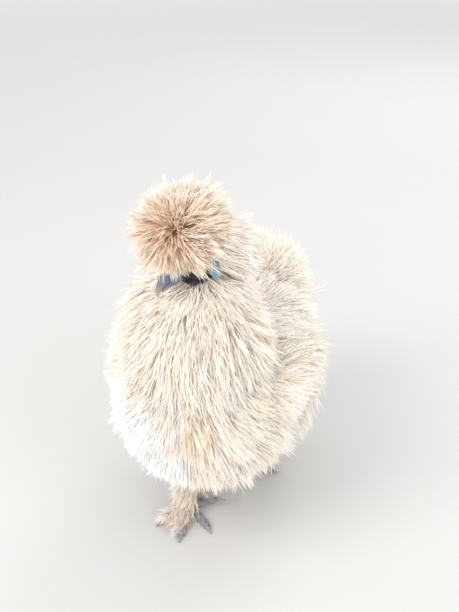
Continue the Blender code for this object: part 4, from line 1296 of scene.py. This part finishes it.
def makeBristles(look):
    bm = bmesh.new()
    addSkull(bm)
    spots = scattered(bm, look["tufts"] * 3, look["seed"])
    local = inHead(spots)
    good = (local[:, 0] > look["furthest"]) & (local[:, 2] < look["highest"])
    for sign in sideSigns.values():
        eye = np.array(headShape["eye"]) * (1, sign, 1)
        good &= np.linalg.norm(local - eye, axis=1) > look["eyeRoom"]
    spots = spots[good][: look["tufts"]]
    lie = np.tile(np.array(look["lie"]) @ headTurn.T, (len(spots), 1))
    finish = Finish("faceBristle", Roughness=0.6)
    finish.set("Base Color", finish.mix(finish.attribute("tint"), look["dark"], look["light"]))
    grownPiece("faceBristles", spots, lie, look["coat"], 57, finish.material)


makeBristles(bristleLook)

stageLook = {
    "floor": (0.66, 0.66, 0.66), "floorSize": 6.0, "world": (0.97, 0.955, 0.94), "worldStrength": 0.86,
    # the far floor, which the lamps don't reach, glows to be as bright as the near one
    "glow": (0.9, 0.9, 0.9), "glowStrength": 0.30, "glowStart": 1.0, "glowFull": 4.0,
    "lamps": (
        # place, aim, size, power, colour
        ((-0.85, -1.30, 1.60), (0.0, 0.0, 0.15), 1.3, 21.0, (1.0, 0.965, 0.93)),
        ((0.35, -1.90, 1.10), (0.0, 0.0, 0.18), 1.5, 9.0, (1.0, 0.975, 0.95)),
        ((1.50, -0.70, 1.20), (0.0, 0.0, 0.15), 1.4, 9.0, (0.98, 0.99, 1.0)),
        ((0.30, 1.60, 1.50), (0.0, 0.0, 0.15), 1.2, 12.0, (1.0, 0.99, 0.97)),
    ),
}


def makeStage(look):
    bm = bmesh.new()
    bmesh.ops.create_grid(bm, x_segments=1, y_segments=1, size=look["floorSize"])
    floor = pieceFrom(bm, "floor", False)
    finish = Finish("paleFloor", Roughness=0.85, Emission_Strength=look["glowStrength"])
    grain = finish.noise(3.0, 2.0)
    finish.set("Base Color", finish.mix(grain, look["floor"], tuple(value * 0.97 for value in look["floor"])))
    near = finish.near((0.0, 0.0, 0.0), look["glowStart"], look["glowFull"])
    finish.set("Emission Color", finish.mix(near, look["glow"], (0.0, 0.0, 0.0)))
    wear(floor, finish.material)
    bpy.context.scene.view_settings.view_transform = "Standard"
    world = bpy.data.worlds.new("studio")
    bpy.context.scene.world = world
    world.use_nodes = True
    sky = world.node_tree.nodes["Background"]
    sky.inputs["Color"].default_value = (*look["world"], 1.0)
    sky.inputs["Strength"].default_value = look["worldStrength"]
    for i, (place, aim, size, power, colour) in enumerate(look["lamps"]):
        data = bpy.data.lights.new(f"lamp{i}", "AREA")
        data.shape, data.size, data.energy, data.color = "DISK", size, power, colour
        lamp = inScene(f"lamp{i}", data)
        lamp.location = place
        lamp.rotation_euler = (Vector(place) - Vector(aim)).to_track_quat("Z", "Y").to_euler()


makeStage(stageLook)
print("stage set")
